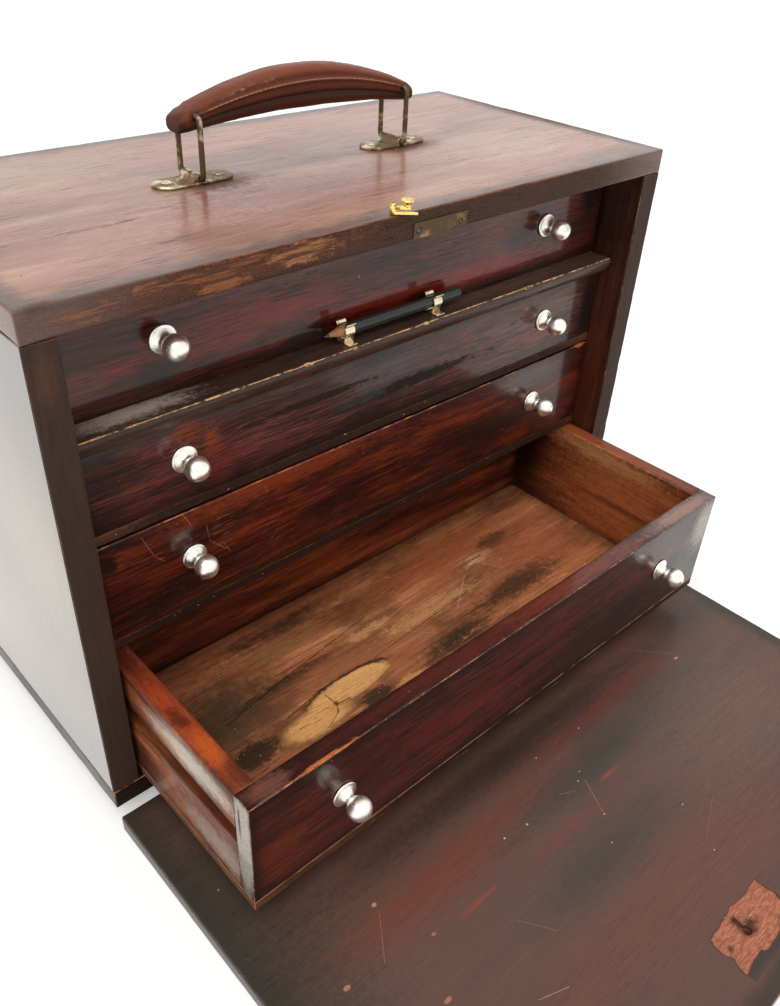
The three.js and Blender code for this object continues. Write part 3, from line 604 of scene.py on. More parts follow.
plainWood = {
    "grain": "x", "dark": (40, 16, 12), "middle": (84, 34, 24), "light": (128, 60, 40), "figure": 1.0,
    "fibres": 1.0, "pores": 0.5, "poreScale": 1.0, "poreColour": (24, 10, 8), "grit": 0.3, "edgeWidth": 0.5,
    "edgeLeast": 0.15, "edgeColour": (206, 140, 92), "edgeShare": 0.8, "grime": 0.6, "grimeReach": 9.0,
    "grimeColour": (30, 14, 11), "stain": 0.6, "stainScale": 11.0, "stainColour": (24, 13, 11), "glow": 0.0,
    "glowColour": (150, 52, 28), "scratch": 0.15, "scratchColour": (206, 160, 124), "scratchTurn": (0, 0, 52),
    "darkScratch": 0.5, "darkScratchColour": (16, 8, 7), "nickScale": 170.0, "nickShare": 0.05,
    "nickSize": 0.1, "nickColour": (206, 158, 120), "smearScale": 24.0, "smooth": 0.3, "rough": 0.5,
    "bareRough": 0.75, "coat": 0.6, "coatRoughness": 0.14, "coatIor": 1.5, "specular": 0.2, "bump": 0.0002,
}
usualMark = (0.9, 0.5, 0.7, 1.0)  # ragged, soft, streaks and cover of a mark that doesn't name them
grainShift = (0.37, 0.91, 0.53)  # moves the grain by this times the piece's seed


# A polished old wood: grain, then stains, glow, grime with painted shade near the arrises, located marks
# (some of them painted light, shade and reflections), scratches, dents and last the bare arris; what is
# bare or matte has also lost its coat of polish. A mark is (kind, colour, strength, centre, radius, ragged,
# soft, streaks, cover): "tint" changes the colour only, "matte" also takes the polish off, and "bare" does
# the same over light wood
def woodMaterial(name, base=plainWood, marks=(), lines=(), **changes):
    look = {**plainWood, **base, **changes}
    tones = {key: srgb(*value) for key, value in look.items()
             if key.endswith("Colour") or key in ("dark", "middle", "light")}
    material, tree, shader, place = startMaterial(name)
    seed = tree.attribute("seed")
    offset = tree.vector("MULTIPLY", tree.add("CombineXYZ", {0: seed, 1: seed, 2: seed})[0], grainShift)
    grainPlace = tree.vector("ADD", tree.turned(place, grainTurns[look["grain"]]), offset)
    grain = tree.use(grainGroup, {
        "Vector": grainPlace, "Dark": tones["dark"], "Middle": tones["middle"], "Light": tones["light"],
        "Pore Colour": tones["poreColour"], "Figure": look["figure"], "Fibres": look["fibres"],
        "Pores": look["pores"], "Pore Scale": look["poreScale"]})
    colour = grain["Colour"]
    if look["glow"]:
        glow = tree.fade(tree.noise(grainPlace, 1.0, 5.0, 0.65, (7, 60, 60)), 0.5, 0.68)
        colour = tree.mix(tree.times(glow, look["glow"]), colour, tones["glowColour"])
    stain = tree.fade(tree.noise(grainPlace, look["stainScale"], 7.0, 0.66, (0.4, 1, 1)), 0.46, 0.64)
    colour = tree.mix(tree.times(stain, look["stain"]), colour, tones["stainColour"])
    wear = tree.use(wearGroup, {
        "Vector": grainPlace, "Arris": tree.attribute("arris"), "Chip": tree.attribute("chip"),
        "Width": look["edgeWidth"], "Least": look["edgeLeast"], "Reach": look["grimeReach"]})
    # grime with painted shade: darker within reach of each arris, so also in the corners where boards meet
    colour = tree.mix(tree.times(wear["Grime And Shade"], look["grime"]), colour, tones["grimeColour"])
    bareEdge = tree.times(wear["Bare"], look["edgeShare"])
    dull = bareEdge
    for kind, shade, strength, centre, radius, *form in marks:
        form = (*form, *usualMark[len(form):])
        mask = tree.times(patchMask(tree, place, grainPlace, centre, radius, *form), strength)
        clean = srgb(*shade)
        inPores = [*[share * 0.55 for share in clean[:3]], 1.0]
        if kind != "tint":
            dull = tree.calc("MAXIMUM", dull, mask)
        colour = tree.mix(mask, colour, tree.mix(tree.fade(grain["Height"], 0.45, 0.1), clean, inPores))
    grit = tree.fade(tree.noise(place, 1300.0, 3.0, 0.7), 0.5, 0.66)
    colour = tree.mix(tree.times(grit, look["grit"]), colour, tones["dark"])
    for start, end, width, shade in lines:
        ends = {"Start": Vector(start) * mm, "End": Vector(end) * mm, "Width": width * mm}
        mask = tree.use(lineGroup, {"Vector": place, **ends})["Mask"]
        colour = tree.mix(tree.times(mask, 0.8), colour, srgb(*shade))
    pale, black = (
        tree.use(scratchGroup, {"Vector": vector, "Fineness": fineness, "Share": share})["Mask"]
        for vector, fineness, share in ((tree.turned(place, look["scratchTurn"]), 1.3, look["scratch"]),
                                        (grainPlace, 1.0, look["darkScratch"])))
    colour = tree.mix(tree.times(pale, 0.6), colour, tones["scratchColour"])
    colour = tree.mix(tree.times(black, 0.85), colour, tones["darkScratchColour"])
    nicks = tree.use(nickGroup, {"Vector": place, "Scale": look["nickScale"], "Share": look["nickShare"],
                                 "Size": look["nickSize"]})["Mask"]
    colour = tree.mix(tree.times(nicks, 0.75), colour, tones["nickColour"])
    edgeClouds = tree.fade(tree.noise(place, 240.0, 3.0), 0.4, 0.65)
    colour = tree.mix(bareEdge, colour, tree.mix(edgeClouds, tones["edgeColour"], tones["middle"]))
    smears = tree.use(smearGroup, {
        "Vector": place, "Scale": look["smearScale"], "Low": look["smooth"], "High": look["rough"]})
    polished = tree.plus(smears["Roughness"], tree.times(grain["Pores"], 0.25))
    height = tree.minus(grain["Height"], tree.times(tree.plus(black, nicks), 1.2))
    height = tree.minus(height, tree.times(tree.plus(pale, dull), 0.35))
    height = tree.plus(height, tree.times(smears["Height"], 0.8))
    tree.fill(shader, {
        "Base Color": colour, "Roughness": tree.mixNumber(dull, polished, look["bareRough"]),
        "Coat Weight": tree.times(tree.minus(1.0, dull, clamp=True), look["coat"]),
        "Normal": tree.bump(height, look["bump"]), "Specular IOR Level": look["specular"],
        "Coat Roughness": look["coatRoughness"], "Coat IOR": look["coatIor"]})
    return material


spotColour, slotColour = (38, 30, 22), (46, 34, 24)  # dark spots on metal, and the dirt with painted shade in screw slots and round their heads


# Metal: a clean colour, tarnish in clouds and round the screws, grime in spots, fine scratches and smears
def metalMaterial(name, clean, tarnish, share, low, high, scratch=0.5, bump=0.00004, rings=()):
    material, tree, shader, place = startMaterial(name)
    cloud = tree.noise(place, 90.0, 6.0, 0.65)
    mask = tree.fade(cloud, 0.62 - 0.3 * share, 0.78 - 0.3 * share)
    for centre, radius in rings:
        around = patchMask(tree, place, place, centre, (radius,) * 3, 0.6, 0.35, 0.0)
        mask = tree.calc("MAXIMUM", mask, around)
    colour = tree.mix(mask, srgb(*clean), srgb(*tarnish))
    spots = tree.use(nickGroup, {"Vector": place, "Scale": 420.0, "Share": 0.16 * share, "Size": 0.3})["Mask"]
    colour = tree.mix(tree.times(spots, 0.7), colour, srgb(*spotColour))
    # screw slots and head rims darkened: dirt with painted shade
    slot = tree.attribute("slot")
    colour = tree.mix(tree.times(slot, 0.9), colour, srgb(*slotColour))
    turned = tree.turned(place, (51, 23, 34))
    lines = tree.use(scratchGroup, {"Vector": turned, "Fineness": 4.0, "Share": scratch})["Mask"]
    smears = tree.use(smearGroup, {"Vector": place, "Scale": 120.0, "Low": low, "High": high})
    roughness = tree.plus(smears["Roughness"], tree.times(mask, 0.18))
    metallic = tree.minus(1.0, tree.times(mask, 0.35 * share))
    height = tree.minus(tree.times(cloud, 0.6), tree.plus(lines, spots))
    tree.fill(shader, {
        "Base Color": colour, "Roughness": tree.plus(roughness, tree.times(lines, 0.1)),
        "Metallic": tree.minus(metallic, tree.times(slot, 0.6), clamp=True),
        "Normal": tree.bump(height, bump)})
    return material


nickel = metalMaterial("satinNickel", (254, 250, 240), (214, 200, 176), 0.2, 0.24, 0.42, 0.6)
# Tarnish round the screws of the plates: centre and radius
screwHalos = [((x, 160.65, 330.0), 4.6) for x in (-89.9, -56.9, 60.5, 93.5)]
plateBrass = metalMaterial("wornPlateBrass", (240, 222, 188), (126, 98, 66), 0.9, 0.16, 0.36, 0.8, 0.00014,
                           screwHalos)
wireBrass = metalMaterial("wornWire", (214, 198, 164), (96, 78, 54), 1.0, 0.18, 0.4, 0.6, 0.0001)
brightBrass = metalMaterial("brightBrass", (252, 222, 130), (214, 168, 76), 0.3, 0.12, 0.26, 0.4)
agedBrass = metalMaterial("agedBrass", (150, 120, 84), (96, 76, 54), 0.9, 0.34, 0.55, 0.8, 0.0001)
clipMetal = metalMaterial("clipMetal", (240, 224, 192), (186, 152, 104), 0.5, 0.18, 0.34, 0.5)
steel = metalMaterial("oldSteel", (150, 144, 134), (74, 58, 46), 0.9, 0.32, 0.55, 0.6, 0.0001)
screwSteel = metalMaterial("screwSteel", (238, 222, 188), (170, 142, 102), 0.5, 0.2, 0.36, 0.5)
print("metals built")

# Dark dashes in the top: x, y, half length, half width, cover
topDashes = (
    (-151, 122, 34, 2.2, 0.5), (-186, 122, 26, 1.8, 0.45), (-133, 85, 9, 1.4, 0.5),
    (-125, 237, 40, 1.6, 0.42), (-85, 233, 30, 1.6, 0.42), (-44, 210, 36, 1.8, 0.42),
    (85, 226, 60, 1.6, 0.42), (-85, 98, 24, 1.2, 0.4), (-139, 186, 46, 1.6, 0.42),
    (12, 84, 30, 1.2, 0.42), (120, 196, 60, 1.6, 0.42))
topWood = woodMaterial(
    "topWood", dark=(138, 86, 68), middle=(184, 130, 105), light=(210, 168, 142), figure=0.7, fibres=0.6,
    pores=0.7, poreScale=0.55, poreColour=(96, 58, 44), grit=0.55, grime=0.85, grimeReach=15.0,
    grimeColour=(74, 54, 42), stain=0.45, stainScale=15.0, stainColour=(96, 60, 44), edgeWidth=0.45,
    edgeColour=(140, 88, 60), edgeShare=0.3, smearScale=16.0, smooth=0.3, rough=0.5, coat=0.7,
    coatRoughness=0.2, coatIor=1.55, darkScratch=0.2, scratch=0.1, nickColour=(74, 42, 30), nickShare=0.1,
    nickScale=210.0,
    marks=[
        *onFace(2, 328.3, 6, [
            ("matte", (78, 56, 46), 0.9, (-68, 151), (44, 18), 0.9, 0.9, 0.5),
            ("matte", (78, 56, 46), 0.9, (80, 151), (44, 18), 0.9, 0.9, 0.5),
            ("tint", (92, 66, 54), 0.7, (20, 158), (50, 8), 1.2, 0.8, 0.8),
            ("tint", (128, 58, 42), 0.7, (-30, 116), (150, 34), 1.1, 0.9),
        ]),
        *onFace(2, 328.3, 4, [("matte", (70, 48, 38), 0.8, (x, y), (length, width), 1.2, 0.3, 1.8, cover)
                              for x, y, length, width, cover in topDashes]),
        *onFace(2, 328.3, 6, [
            ("tint", (112, 48, 38), 0.45, (-70, 132), (60, 14), 1.1, 0.9),
            # painted sheen: pale patches at the right middle and the rear left of the top
            ("tint", (222, 182, 152), 0.5, (150, 120), (90, 50), 0.9, 0.9),
            ("tint", (196, 172, 144), 0.55, (-150, 226), (110, 40), 0.9, 0.9),
            ("tint", (120, 108, 92), 0.5, (-60, 190), (130, 16), 1.2, 0.9),
            ("tint", (84, 68, 54), 0.8, (60, 262), (240, 13), 0.7, 0.9),
            ("tint", (110, 92, 78), 0.7, (190, 66), (70, 18), 0.9, 0.9),
            ("matte", (104, 88, 76), 0.8, (224, 160), (18, 130), 0.7, 0.9),
        ]),
        ("tint", (84, 70, 60), 0.8, (-223, 160, 328.3), (7, 120, 4), 0.8, 0.8),
        ("matte", (66, 46, 36), 0.97, (0, 50.6, 320), (240, 1.1, 30), 0.1, 0.4, 0.1),
        ("tint", (30, 20, 16), 0.8, (13, 50.6, 317.7), (23, 1.6, 5.6), 0.3, 0.3, 0.2),
        ("tint", (104, 62, 42), 0.7, (-120, 50.6, 321), (130, 1.6, 8), 1.0, 0.7, 1.2),
        ("matte", (74, 56, 46), 0.6, (-215, 52, 328.3), (14, 4, 8), 0.9, 0.9),
        ("bare", (160, 100, 64), 0.9, (-112, 50.6, 323.6), (92, 2.4, 5.4), 1.4, 0.3, 1.4, 0.45),
        ("bare", (190, 130, 86), 0.95, (-80, 50.6, 322.0), (26, 2.6, 6.0), 1.6, 0.3, 1.2, 0.5),
        ("bare", (160, 104, 68), 0.9, (-196, 50.6, 320.0), (20, 2.6, 5.0), 1.4, 0.3, 1.0, 0.46),
        ("bare", (176, 100, 60), 0.85, (-80, 50.6, 328.2), (104, 1.6, 0.7), 1.1, 0.3, 1.4, 0.5),
        ("bare", (168, 104, 66), 0.85, (-128, 50.6, 316.0), (16, 1.6, 3.0), 1.3, 0.3, 0.8, 0.54),
        ("bare", (168, 96, 58), 0.8, (70, 50.6, 328.2), (90, 2.0, 1.0), 1.2, 0.3, 1.4, 0.5),
        ("tint", (140, 116, 96), 0.97, (-225, 160, 320), (1.0, 130, 40), 0.1, 0.4, 0.1),
    ])
leftSideWood = woodMaterial(
    "leftSideWood", grain="z", dark=(84, 58, 42), middle=(118, 88, 66), light=(142, 110, 84), grit=0.1,
    figure=0.4, fibres=0.5, pores=0.1, grime=0.75, grimeReach=8.0, grimeColour=(60, 46, 38), stain=0.35,
    stainScale=7.0, stainColour=(92, 72, 58), smearScale=9.0, smooth=0.2, rough=0.3, coat=1.0,
    coatRoughness=0.12, coatIor=2.5, scratch=0.1, scratchColour=(222, 216, 206), scratchTurn=(40, 0, 0),
    darkScratch=0.1, nickShare=0.03, nickColour=(84, 70, 60), edgeWidth=0.4, edgeColour=(120, 84, 60),
    bump=0.00008,
    marks=[
        *onFace(0, -225, 4, [
            # painted reflection: lighter at mid height, with darker patches near the foot and the top
            ("tint", (66, 54, 44), 0.75, (90, 40), (90, 60), 0.9, 0.9),
            ("tint", (72, 56, 44), 0.75, (70, 300), (90, 70), 0.9, 0.9),
            ("tint", (172, 146, 116), 0.7, (90, 190), (60, 80), 0.9, 0.9),
        ]),
        ("matte", (66, 47, 39), 0.98, (-217, 50.6, 170), (40, 1.5, 480), 0.1, 0.3, 0.1),
        ("matte", (74, 40, 28), 0.96, (-208, 66, 170), (3.4, 24, 190), 0.3, 0.5),
        ("tint", (96, 62, 44), 0.6, (-217, 50.6, 296), (9, 1.7, 20), 1.0, 0.8),
    ])
rightSideWood = woodMaterial(
    "rightSideWood", grain="z", dark=(40, 18, 13), middle=(84, 42, 28), light=(122, 68, 44), figure=0.8,
    grime=0.5, grimeReach=8.0, edgeWidth=0.5, edgeLeast=0.05, edgeColour=(176, 128, 94), edgeShare=0.6,
    coat=0.4, nickShare=0.06, nickColour=(150, 100, 72),
    marks=[
        # painted shade: dark at the top rear of the right side's inner face, inside the case
        ("tint", (26, 15, 14), 0.8, (208, 90, 280), (6, 60, 50), 0.7, 0.9),
        ("tint", (96, 44, 28), 0.6, (208, 70, 150), (6, 24, 90), 0.9, 0.9),
        ("matte", (78, 58, 50), 0.97, (217, 50.6, 170), (40, 1.5, 480), 0.1, 0.3, 0.1),
    ])
caseWood = woodMaterial(
    "caseWood", dark=(28, 17, 13), middle=(56, 36, 28), light=(88, 56, 42), coat=0.3)
backWood = woodMaterial(
    "backWood", dark=(50, 26, 18), middle=(94, 54, 36), light=(128, 80, 54), coat=0.15, smooth=0.45,
    rough=0.65)
frontBase = {
    "edgeWidth": 0.45, "edgeColour": (222, 150, 98), "edgeShare": 0.85, "grime": 0.7, "grimeReach": 8.0,
    "grimeColour": (26, 11, 10), "coat": 0.55, "coatRoughness": 0.1, "smearScale": 30.0, "smooth": 0.28,
    "rough": 0.46, "scratchTurn": (0, 48, 0), "glow": 0.5, "stain": 0.85, "stainScale": 16.0,
    "stainColour": (22, 10, 9), "nickColour": (196, 142, 104), "figure": 0.65, "fibres": 1.7,
}
firstFront = woodMaterial(
    "firstDrawerWood", frontBase, dark=(34, 9, 8), middle=(84, 24, 17), light=(136, 46, 30),
    darkScratch=0.8, pores=0.7,
    marks=onFace(1, 80, 3, [
        # painted reflection of the top board's front edge: a greyish band along the top of the front
        ("tint", (134, 84, 72), 0.5, (-76, 302), (90, 11), 0.9, 0.8, 1.4),
        ("tint", (122, 78, 68), 0.5, (120, 302), (80, 12), 0.9, 0.8, 1.2),
        ("tint", (150, 40, 20), 0.8, (60, 266), (140, 10), 1.0, 0.8, 1.4),
        ("tint", (132, 36, 22), 0.65, (-80, 284), (70, 12), 1.1, 0.7, 1.6),
        ("tint", (116, 62, 52), 0.6, (-190, 272), (16, 10), 1.2, 0.8, 1.6),
        ("tint", (22, 12, 10), 0.85, (-150, 268), (18, 10), 1.2, 0.6),
        ("tint", (22, 12, 10), 0.8, (28, 260), (16, 8), 1.3, 0.6),
        ("tint", (22, 12, 10), 0.85, (-56, 262), (20, 9), 1.3, 0.6),
        # painted reflection of the dark right side: a dark band at the front's right end
        ("tint", (18, 10, 11), 0.9, (192, 300), (16, 40), 0.6, 0.8, 0.3),
    ]))
secondFront = woodMaterial(
    "secondDrawerWood", frontBase, dark=(34, 16, 15), middle=(74, 34, 29), light=(122, 60, 48),
    darkScratch=1.3, pores=0.9, poreScale=0.6, glow=0.25, edgeLeast=0.02, edgeShare=0.5,
    marks=onFace(1, 71, 3, [
        ("bare", (164, 76, 42), 0.8, (-143, 234), (15, 9), 1.8, 0.8, 1.8, 0.56),
        ("bare", (170, 80, 44), 0.8, (-128, 222), (8, 18), 2.0, 0.8, 1.8, 0.56),
        ("tint", (118, 40, 24), 0.7, (-122, 212), (18, 16), 1.4, 0.7, 1.4),
        # painted reflection: grey patches in the middle and at the right of the front
        ("tint", (96, 84, 82), 0.5, (-10, 226), (70, 12), 1.2, 0.8, 1.4),
        ("tint", (126, 98, 90), 0.5, (140, 224), (60, 16), 1.0, 0.8),
        ("tint", (136, 52, 36), 0.7, (140, 208), (20, 10), 1.1, 0.7),
        ("matte", (20, 13, 12), 0.85, (10, 212), (90, 5), 1.5, 0.5, 1.8, 0.7),
        ("matte", (18, 12, 11), 0.85, (-60, 224), (60, 3), 1.5, 0.5, 1.8, 0.66),
        ("matte", (86, 80, 78), 0.5, (-24, 214), (30, 6), 1.6, 0.5, 1.6, 0.6),
        # painted reflection of the dark right side: a dark band at the front's right end
        ("tint", (18, 10, 11), 0.9, (196, 218), (10, 40), 0.6, 0.8, 0.3),
    ]))
thirdFront = woodMaterial(
    "thirdDrawerWood", frontBase, dark=(34, 11, 8), middle=(84, 30, 18), light=(136, 56, 32),
    nickShare=0.12, nickSize=0.13, glow=0.65, glowColour=(158, 62, 28),
    lines=linesOn(1, 71, [
        ((-175.8, 180.8), (-170, 166), 0.28, (176, 104, 64)),
        ((-170, 166), (-164, 159), 0.28, (176, 104, 64)),
        ((-150.5, 184.8), (-146, 175.8), 0.28, (190, 120, 76)),
        ((-136.5, 171.3), (-135.2, 161), 0.3, (176, 104, 64)),
        ((-135.3, 159.9), (-124.6, 148.4), 0.3, (184, 112, 70)),
        ((-96.5, 181.8), (-94.3, 174.9), 0.25, (184, 112, 70)),
        ((-126.5, 154.3), (-122.5, 146), 0.25, (190, 120, 76))
    ]),
    marks=[
        ("tint", (160, 66, 30), 0.75, (-80, 71, 182), (110, 3, 12), 1.2, 0.8, 1.6),
        ("bare", (214, 116, 62), 0.9, (197, 71, 185), (6, 4, 2.6), 1.0, 0.4),
        *onFace(1, 71, 3, [
            # painted reflection: a grey patch at the right of the front
            ("tint", (104, 92, 88), 0.5, (140, 176), (40, 12), 1.0, 0.8),
            ("tint", (18, 10, 10), 0.85, (-197, 172), (7, 7), 1.2, 0.5),
            ("tint", (26, 13, 11), 0.8, (110, 146), (110, 24), 0.9, 0.8),
            ("tint", (22, 12, 11), 0.75, (-170, 132), (50, 12), 1.1, 0.8),
            ("bare", (176, 104, 64), 0.8, (-126, 166), (12, 16), 1.6, 0.5, 1.6, 0.42),
            ("bare", (176, 104, 64), 0.8, (-170, 160), (10, 12), 1.6, 0.5, 1.6, 0.4),
            ("tint", (120, 100, 92), 0.5, (-150, 172), (6, 5), 1.4, 0.8),
        ]),
    ])
lowestFront = woodMaterial(
    "lowestDrawerWood", frontBase, dark=(32, 12, 11), middle=(68, 28, 21), light=(104, 46, 32), glow=0.45,
    glowColour=(134, 48, 26),
    marks=[
        *onFace(1, -62, 3, [
            ("tint", (122, 48, 28), 0.6, (-184, 62), (18, 24), 1.1, 0.8),
            ("tint", (116, 42, 24), 0.5, (-70, 76), (60, 16), 1.2, 0.8),
            ("tint", (24, 14, 13), 0.7, (90, 60), (120, 22), 0.9, 0.9),
            # painted reflection: a pale patch at the front's right end
            ("tint", (206, 196, 182), 0.85, (198, 92), (20, 30), 0.9, 0.8),
        ]),
        ("tint", (108, 44, 32), 0.7, (0, -55.7, 113), (205, 9, 1.6), 0.8, 0.7),
        ("tint", (150, 96, 78), 0.6, (-190, -56, 113), (18, 9, 1.6), 0.8, 0.7),
        ("bare", (222, 122, 64), 0.85, (-158, -61.4, 112.9), (22, 2.2, 1.6), 1.3, 0.5, 1.4, 0.75),
        ("tint", (150, 66, 42), 0.6, (60, -56, 113), (90, 8, 1.6), 1.2, 0.7, 1.4),
        ("tint", (186, 144, 130), 0.8, (170, -56, 113), (60, 9, 1.6), 0.8, 0.8),
        # painted reflection: the front's left end face made pale grey
        ("tint", (196, 184, 168), 0.9, (-205.4, -56, 84), (1.4, 9, 60), 0.5, 0.5, 0.3),
        ("matte", (40, 34, 32), 0.8, (-205.4, -53.4, 96), (1.4, 1.2, 14), 1.4, 0.5),
    ])
ledgeWood = woodMaterial(
    "ledgeWood", dark=(46, 33, 27), middle=(82, 60, 50), light=(112, 84, 70), figure=0.6, pores=0.6,
    grime=0.2, edgeWidth=0.48, edgeLeast=0.7, edgeColour=(246, 194, 132), edgeShare=0.97, coat=0.25,
    smearScale=40.0, smooth=0.4, rough=0.6, scratch=0.5, scratchColour=(150, 138, 126), darkScratch=0.6,
    stain=0.35,
    marks=[
        # painted sheen: a pale patch on the left part of the ledge top
        ("tint", (206, 188, 174), 0.95, (-172, 76, 253.4), (52, 12, 3), 1.3, 0.8, 1.2, 0.9),
        ("tint", (60, 26, 20), 0.8, (0, 62, 246), (206, 4, 4), 0.8, 0.6),
        ("tint", (40, 16, 12), 0.8, (40, 81, 253.4), (170, 3, 3), 0.9, 0.7),
    ])
innerWood = woodMaterial(
    "innerWood", grain="y", dark=(76, 34, 18), middle=(150, 80, 44), light=(206, 128, 74), figure=1.0,
    grime=0.5, grimeReach=8.0, grimeColour=(50, 22, 14), stain=0.6, stainScale=22.0,
    stainColour=(70, 36, 24), coat=0.2, smooth=0.42, rough=0.62, edgeWidth=0.6, edgeColour=(196, 120, 70),
    edgeShare=0.4, scratchTurn=(30, 0, 0),
    marks=[
        ("tint", (172, 66, 32), 0.9, (-199, 20, 113), (8.5, 100, 4.5), 0.9, 0.7),
        ("tint", (214, 98, 34), 0.8, (-199, -18, 113), (7, 20, 4), 1.3, 0.7),
        ("tint", (98, 38, 24), 0.85, (-199, 70, 113), (9, 44, 5), 0.8, 0.7),
        ("tint", (60, 28, 18), 0.7, (-200, 8, 113), (5, 12, 4), 1.8, 0.6),
        ("tint", (104, 40, 22), 0.7, (-196, -40, 113), (6, 14, 4), 1.6, 0.6),
        ("tint", (168, 84, 48), 0.8, (199, 40, 113), (8.5, 110, 4.5), 0.7, 0.6),
        # painted reflection and shade on the outer face of the left side: pale bands in front, darker towards
        # the rear
        *onFace(0, -205.6, 1.4, [
            ("tint", (226, 212, 196), 0.97, (-10, 100), (62, 14), 0.7, 0.8, 0.3),
            ("tint", (74, 32, 24), 0.96, (86, 76), (50, 60), 0.7, 0.9, 0.3),
            ("tint", (184, 162, 148), 0.95, (-34, 52), (60, 18), 0.9, 0.9, 0.5),
            ("tint", (54, 26, 20), 0.85, (46, 48), (40, 22), 0.9, 0.9, 0.3),
        ]),
        ("tint", (186, 82, 34), 0.85, (-202, 10, 80), (4.2, 80, 1.8), 0.8, 0.6),
        # painted light: the first two rows make the right side's inner face lighter, golden towards the top
        *onFace(0, 193, 3, [
            ("tint", (216, 122, 72), 0.75, (10, 76), (90, 60), 0.9, 0.9, 1.2),
            ("tint", (214, 156, 100), 0.75, (30, 106), (76, 11), 1.1, 0.9, 1.2),
            ("tint", (98, 54, 36), 0.7, (10, 70), (60, 4), 1.3, 0.8, 1.2),
        ]),
        # painted shadow: dark at the rear of the right side's inner face
        ("tint", (28, 14, 12), 0.95, (193, 112, 80), (5, 34, 60), 0.5, 0.6, 0.3),
    ])
innerBackWood = woodMaterial(
    "innerBackWood", dark=(48, 20, 13), middle=(104, 46, 28), light=(168, 88, 48), figure=1.2, grime=0.6,
    grimeColour=(40, 18, 12), stain=0.7, stainScale=18.0, coat=0.15, smooth=0.42, rough=0.66, glow=0.4,
    glowColour=(176, 90, 44), edgeColour=(186, 104, 60), scratchTurn=(0, 40, 0))
panelBase = {
    "dark": (116, 66, 42), "middle": (182, 112, 74), "light": (230, 156, 104), "figure": 0.8, "fibres": 0.8,
    "pores": 0.4, "grime": 0.7, "grimeReach": 26.0, "grimeColour": (66, 42, 28), "stain": 0.7,
    "stainScale": 24.0, "stainColour": (74, 52, 36), "coat": 0.1, "smearScale": 20.0, "smooth": 0.45,
    "rough": 0.65, "scratch": 0.4, "scratchColour": (226, 184, 138), "nickScale": 260.0, "nickShare": 0.2,
    "nickSize": 0.12, "nickColour": (236, 196, 148),
}
# painted shade: the bottom panel's front edge made dark, like the gap under the drawer front
paintedShadeFrontEdge = ("matte", (38, 20, 16), 0.97, (0, 71, 150), (260, 1.4, 110), 0.1, 0.3, 0.1)
hiddenPanelWood = woodMaterial(
    "hiddenPanelWood", panelBase, edgeShare=0.12, edgeLeast=0.0,
    marks=[
        paintedShadeFrontEdge,
    ])
panelWood = woodMaterial(
    "panelWood", panelBase, edgeWidth=0.8, edgeLeast=0.05, edgeColour=(168, 132, 92), edgeShare=0.7,
    lines=linesOn(2, 36.5, [
        ((-86.4, 15.4), (-87.3, 25.8), 0.7, (84, 46, 24)),
        ((-86.4, 15.4), (-76.6, 14.4), 0.7, (84, 46, 24)), ((-86.4, 15.4), (-89.9, 9.6), 0.8, (84, 46, 24)),
        ((-89.9, 9.6), (-102.7, 3.5), 0.5, (140, 86, 48)), ((-150, 46), (-96, 55), 0.7, (34, 24, 16)),
        ((-96, 55), (-20, 66), 0.55, (34, 24, 16)), ((-118, 26), (-96, 30), 0.6, (44, 30, 20)),
        ((-40, 31), (60, 38), 0.5, (50, 34, 22)), ((-30, 50), (30, 60), 0.3, (230, 180, 130)),
        ((40, 30), (70, 52), 0.25, (226, 176, 128)), ((100, 40), (86, 64), 0.25, (226, 176, 128)),
        ((10, 20), (-14, 44), 0.25, (220, 160, 110))
    ]),
    marks=[
        *onFace(2, 36.5, 4, [
            ("tint", (74, 62, 42), 0.9, (-150, 56), (76, 40), 1.2, 0.9),
            ("tint", (46, 38, 28), 0.8, (-70, 96), (76, 12), 1.3, 0.9),
            ("tint", (52, 40, 28), 0.75, (-96, 52), (70, 6), 1.3, 0.9, 1.2),
            ("tint", (170, 122, 76), 0.8, (-84, 80), (40, 11), 1.2, 0.9),
            ("tint", (178, 112, 74), 0.75, (-50, 40), (90, 14), 1.2, 0.9, 1.2),
            ("tint", (176, 92, 52), 0.7, (60, 78), (110, 26), 1.2, 0.9),
            ("tint", (190, 110, 68), 0.7, (140, 40), (70, 50), 1.1, 0.9),
            ("tint", (60, 42, 28), 0.8, (96, 20), (66, 14), 1.6, 0.8),
            ("tint", (50, 42, 30), 0.85, (20, 8), (50, 10), 1.5, 0.7),
            ("tint", (64, 48, 32), 0.7, (120, 70), (24, 9), 1.8, 0.7),
            ("bare", (226, 160, 106), 0.85, (20, 42), (56, 9), 1.6, 0.5, 1.8, 0.6),
            ("bare", (240, 190, 138), 0.8, (92, 60), (24, 7), 1.9, 0.5, 1.8, 0.5),
            ("bare", (232, 168, 110), 0.85, (-26, 54), (26, 5), 1.6, 0.5, 1.6, 0.6),
            ("bare", (226, 150, 92), 0.7, (60, 4), (60, 6), 1.7, 0.5, 1.6, 0.48),
            ("tint", (58, 40, 24), 0.95, (-69, 25.4), (40, 8.6), 0.4, 0.25, 0.2),
            ("tint", (96, 66, 40), 0.9, (-104, 11), (38, 15), 0.7, 0.5, 0.4),
            ("bare", (255, 190, 120), 1.0, (-70, 22), (36, 9.6), 0.35, 0.2, 0.15),
            ("bare", (255, 186, 116), 1.0, (-104, 12), (32, 12.5), 0.5, 0.45, 0.2),
            ("bare", (250, 172, 104), 0.9, (-34, 1), (15, 4.6), 1.5, 0.4, 1.0, 0.8),
            ("tint", (54, 44, 28), 0.92, (-150, 16), (24, 12), 1.1, 0.5),
            ("tint", (58, 50, 32), 0.9, (-62, 4), (17, 9), 1.1, 0.5),
            ("tint", (120, 70, 38), 0.8, (-86.4, 16), (3.0, 3.0), 1.2, 0.7, 0.6),
        ]),
        # painted shade: the bottom panel's front edge made dark, like the gap under the drawer front
        ("matte", (38, 20, 16), 0.97, (40, -61.9, 33), (226, 1.2, 6), 0.3, 0.4, 0.1),
    ])
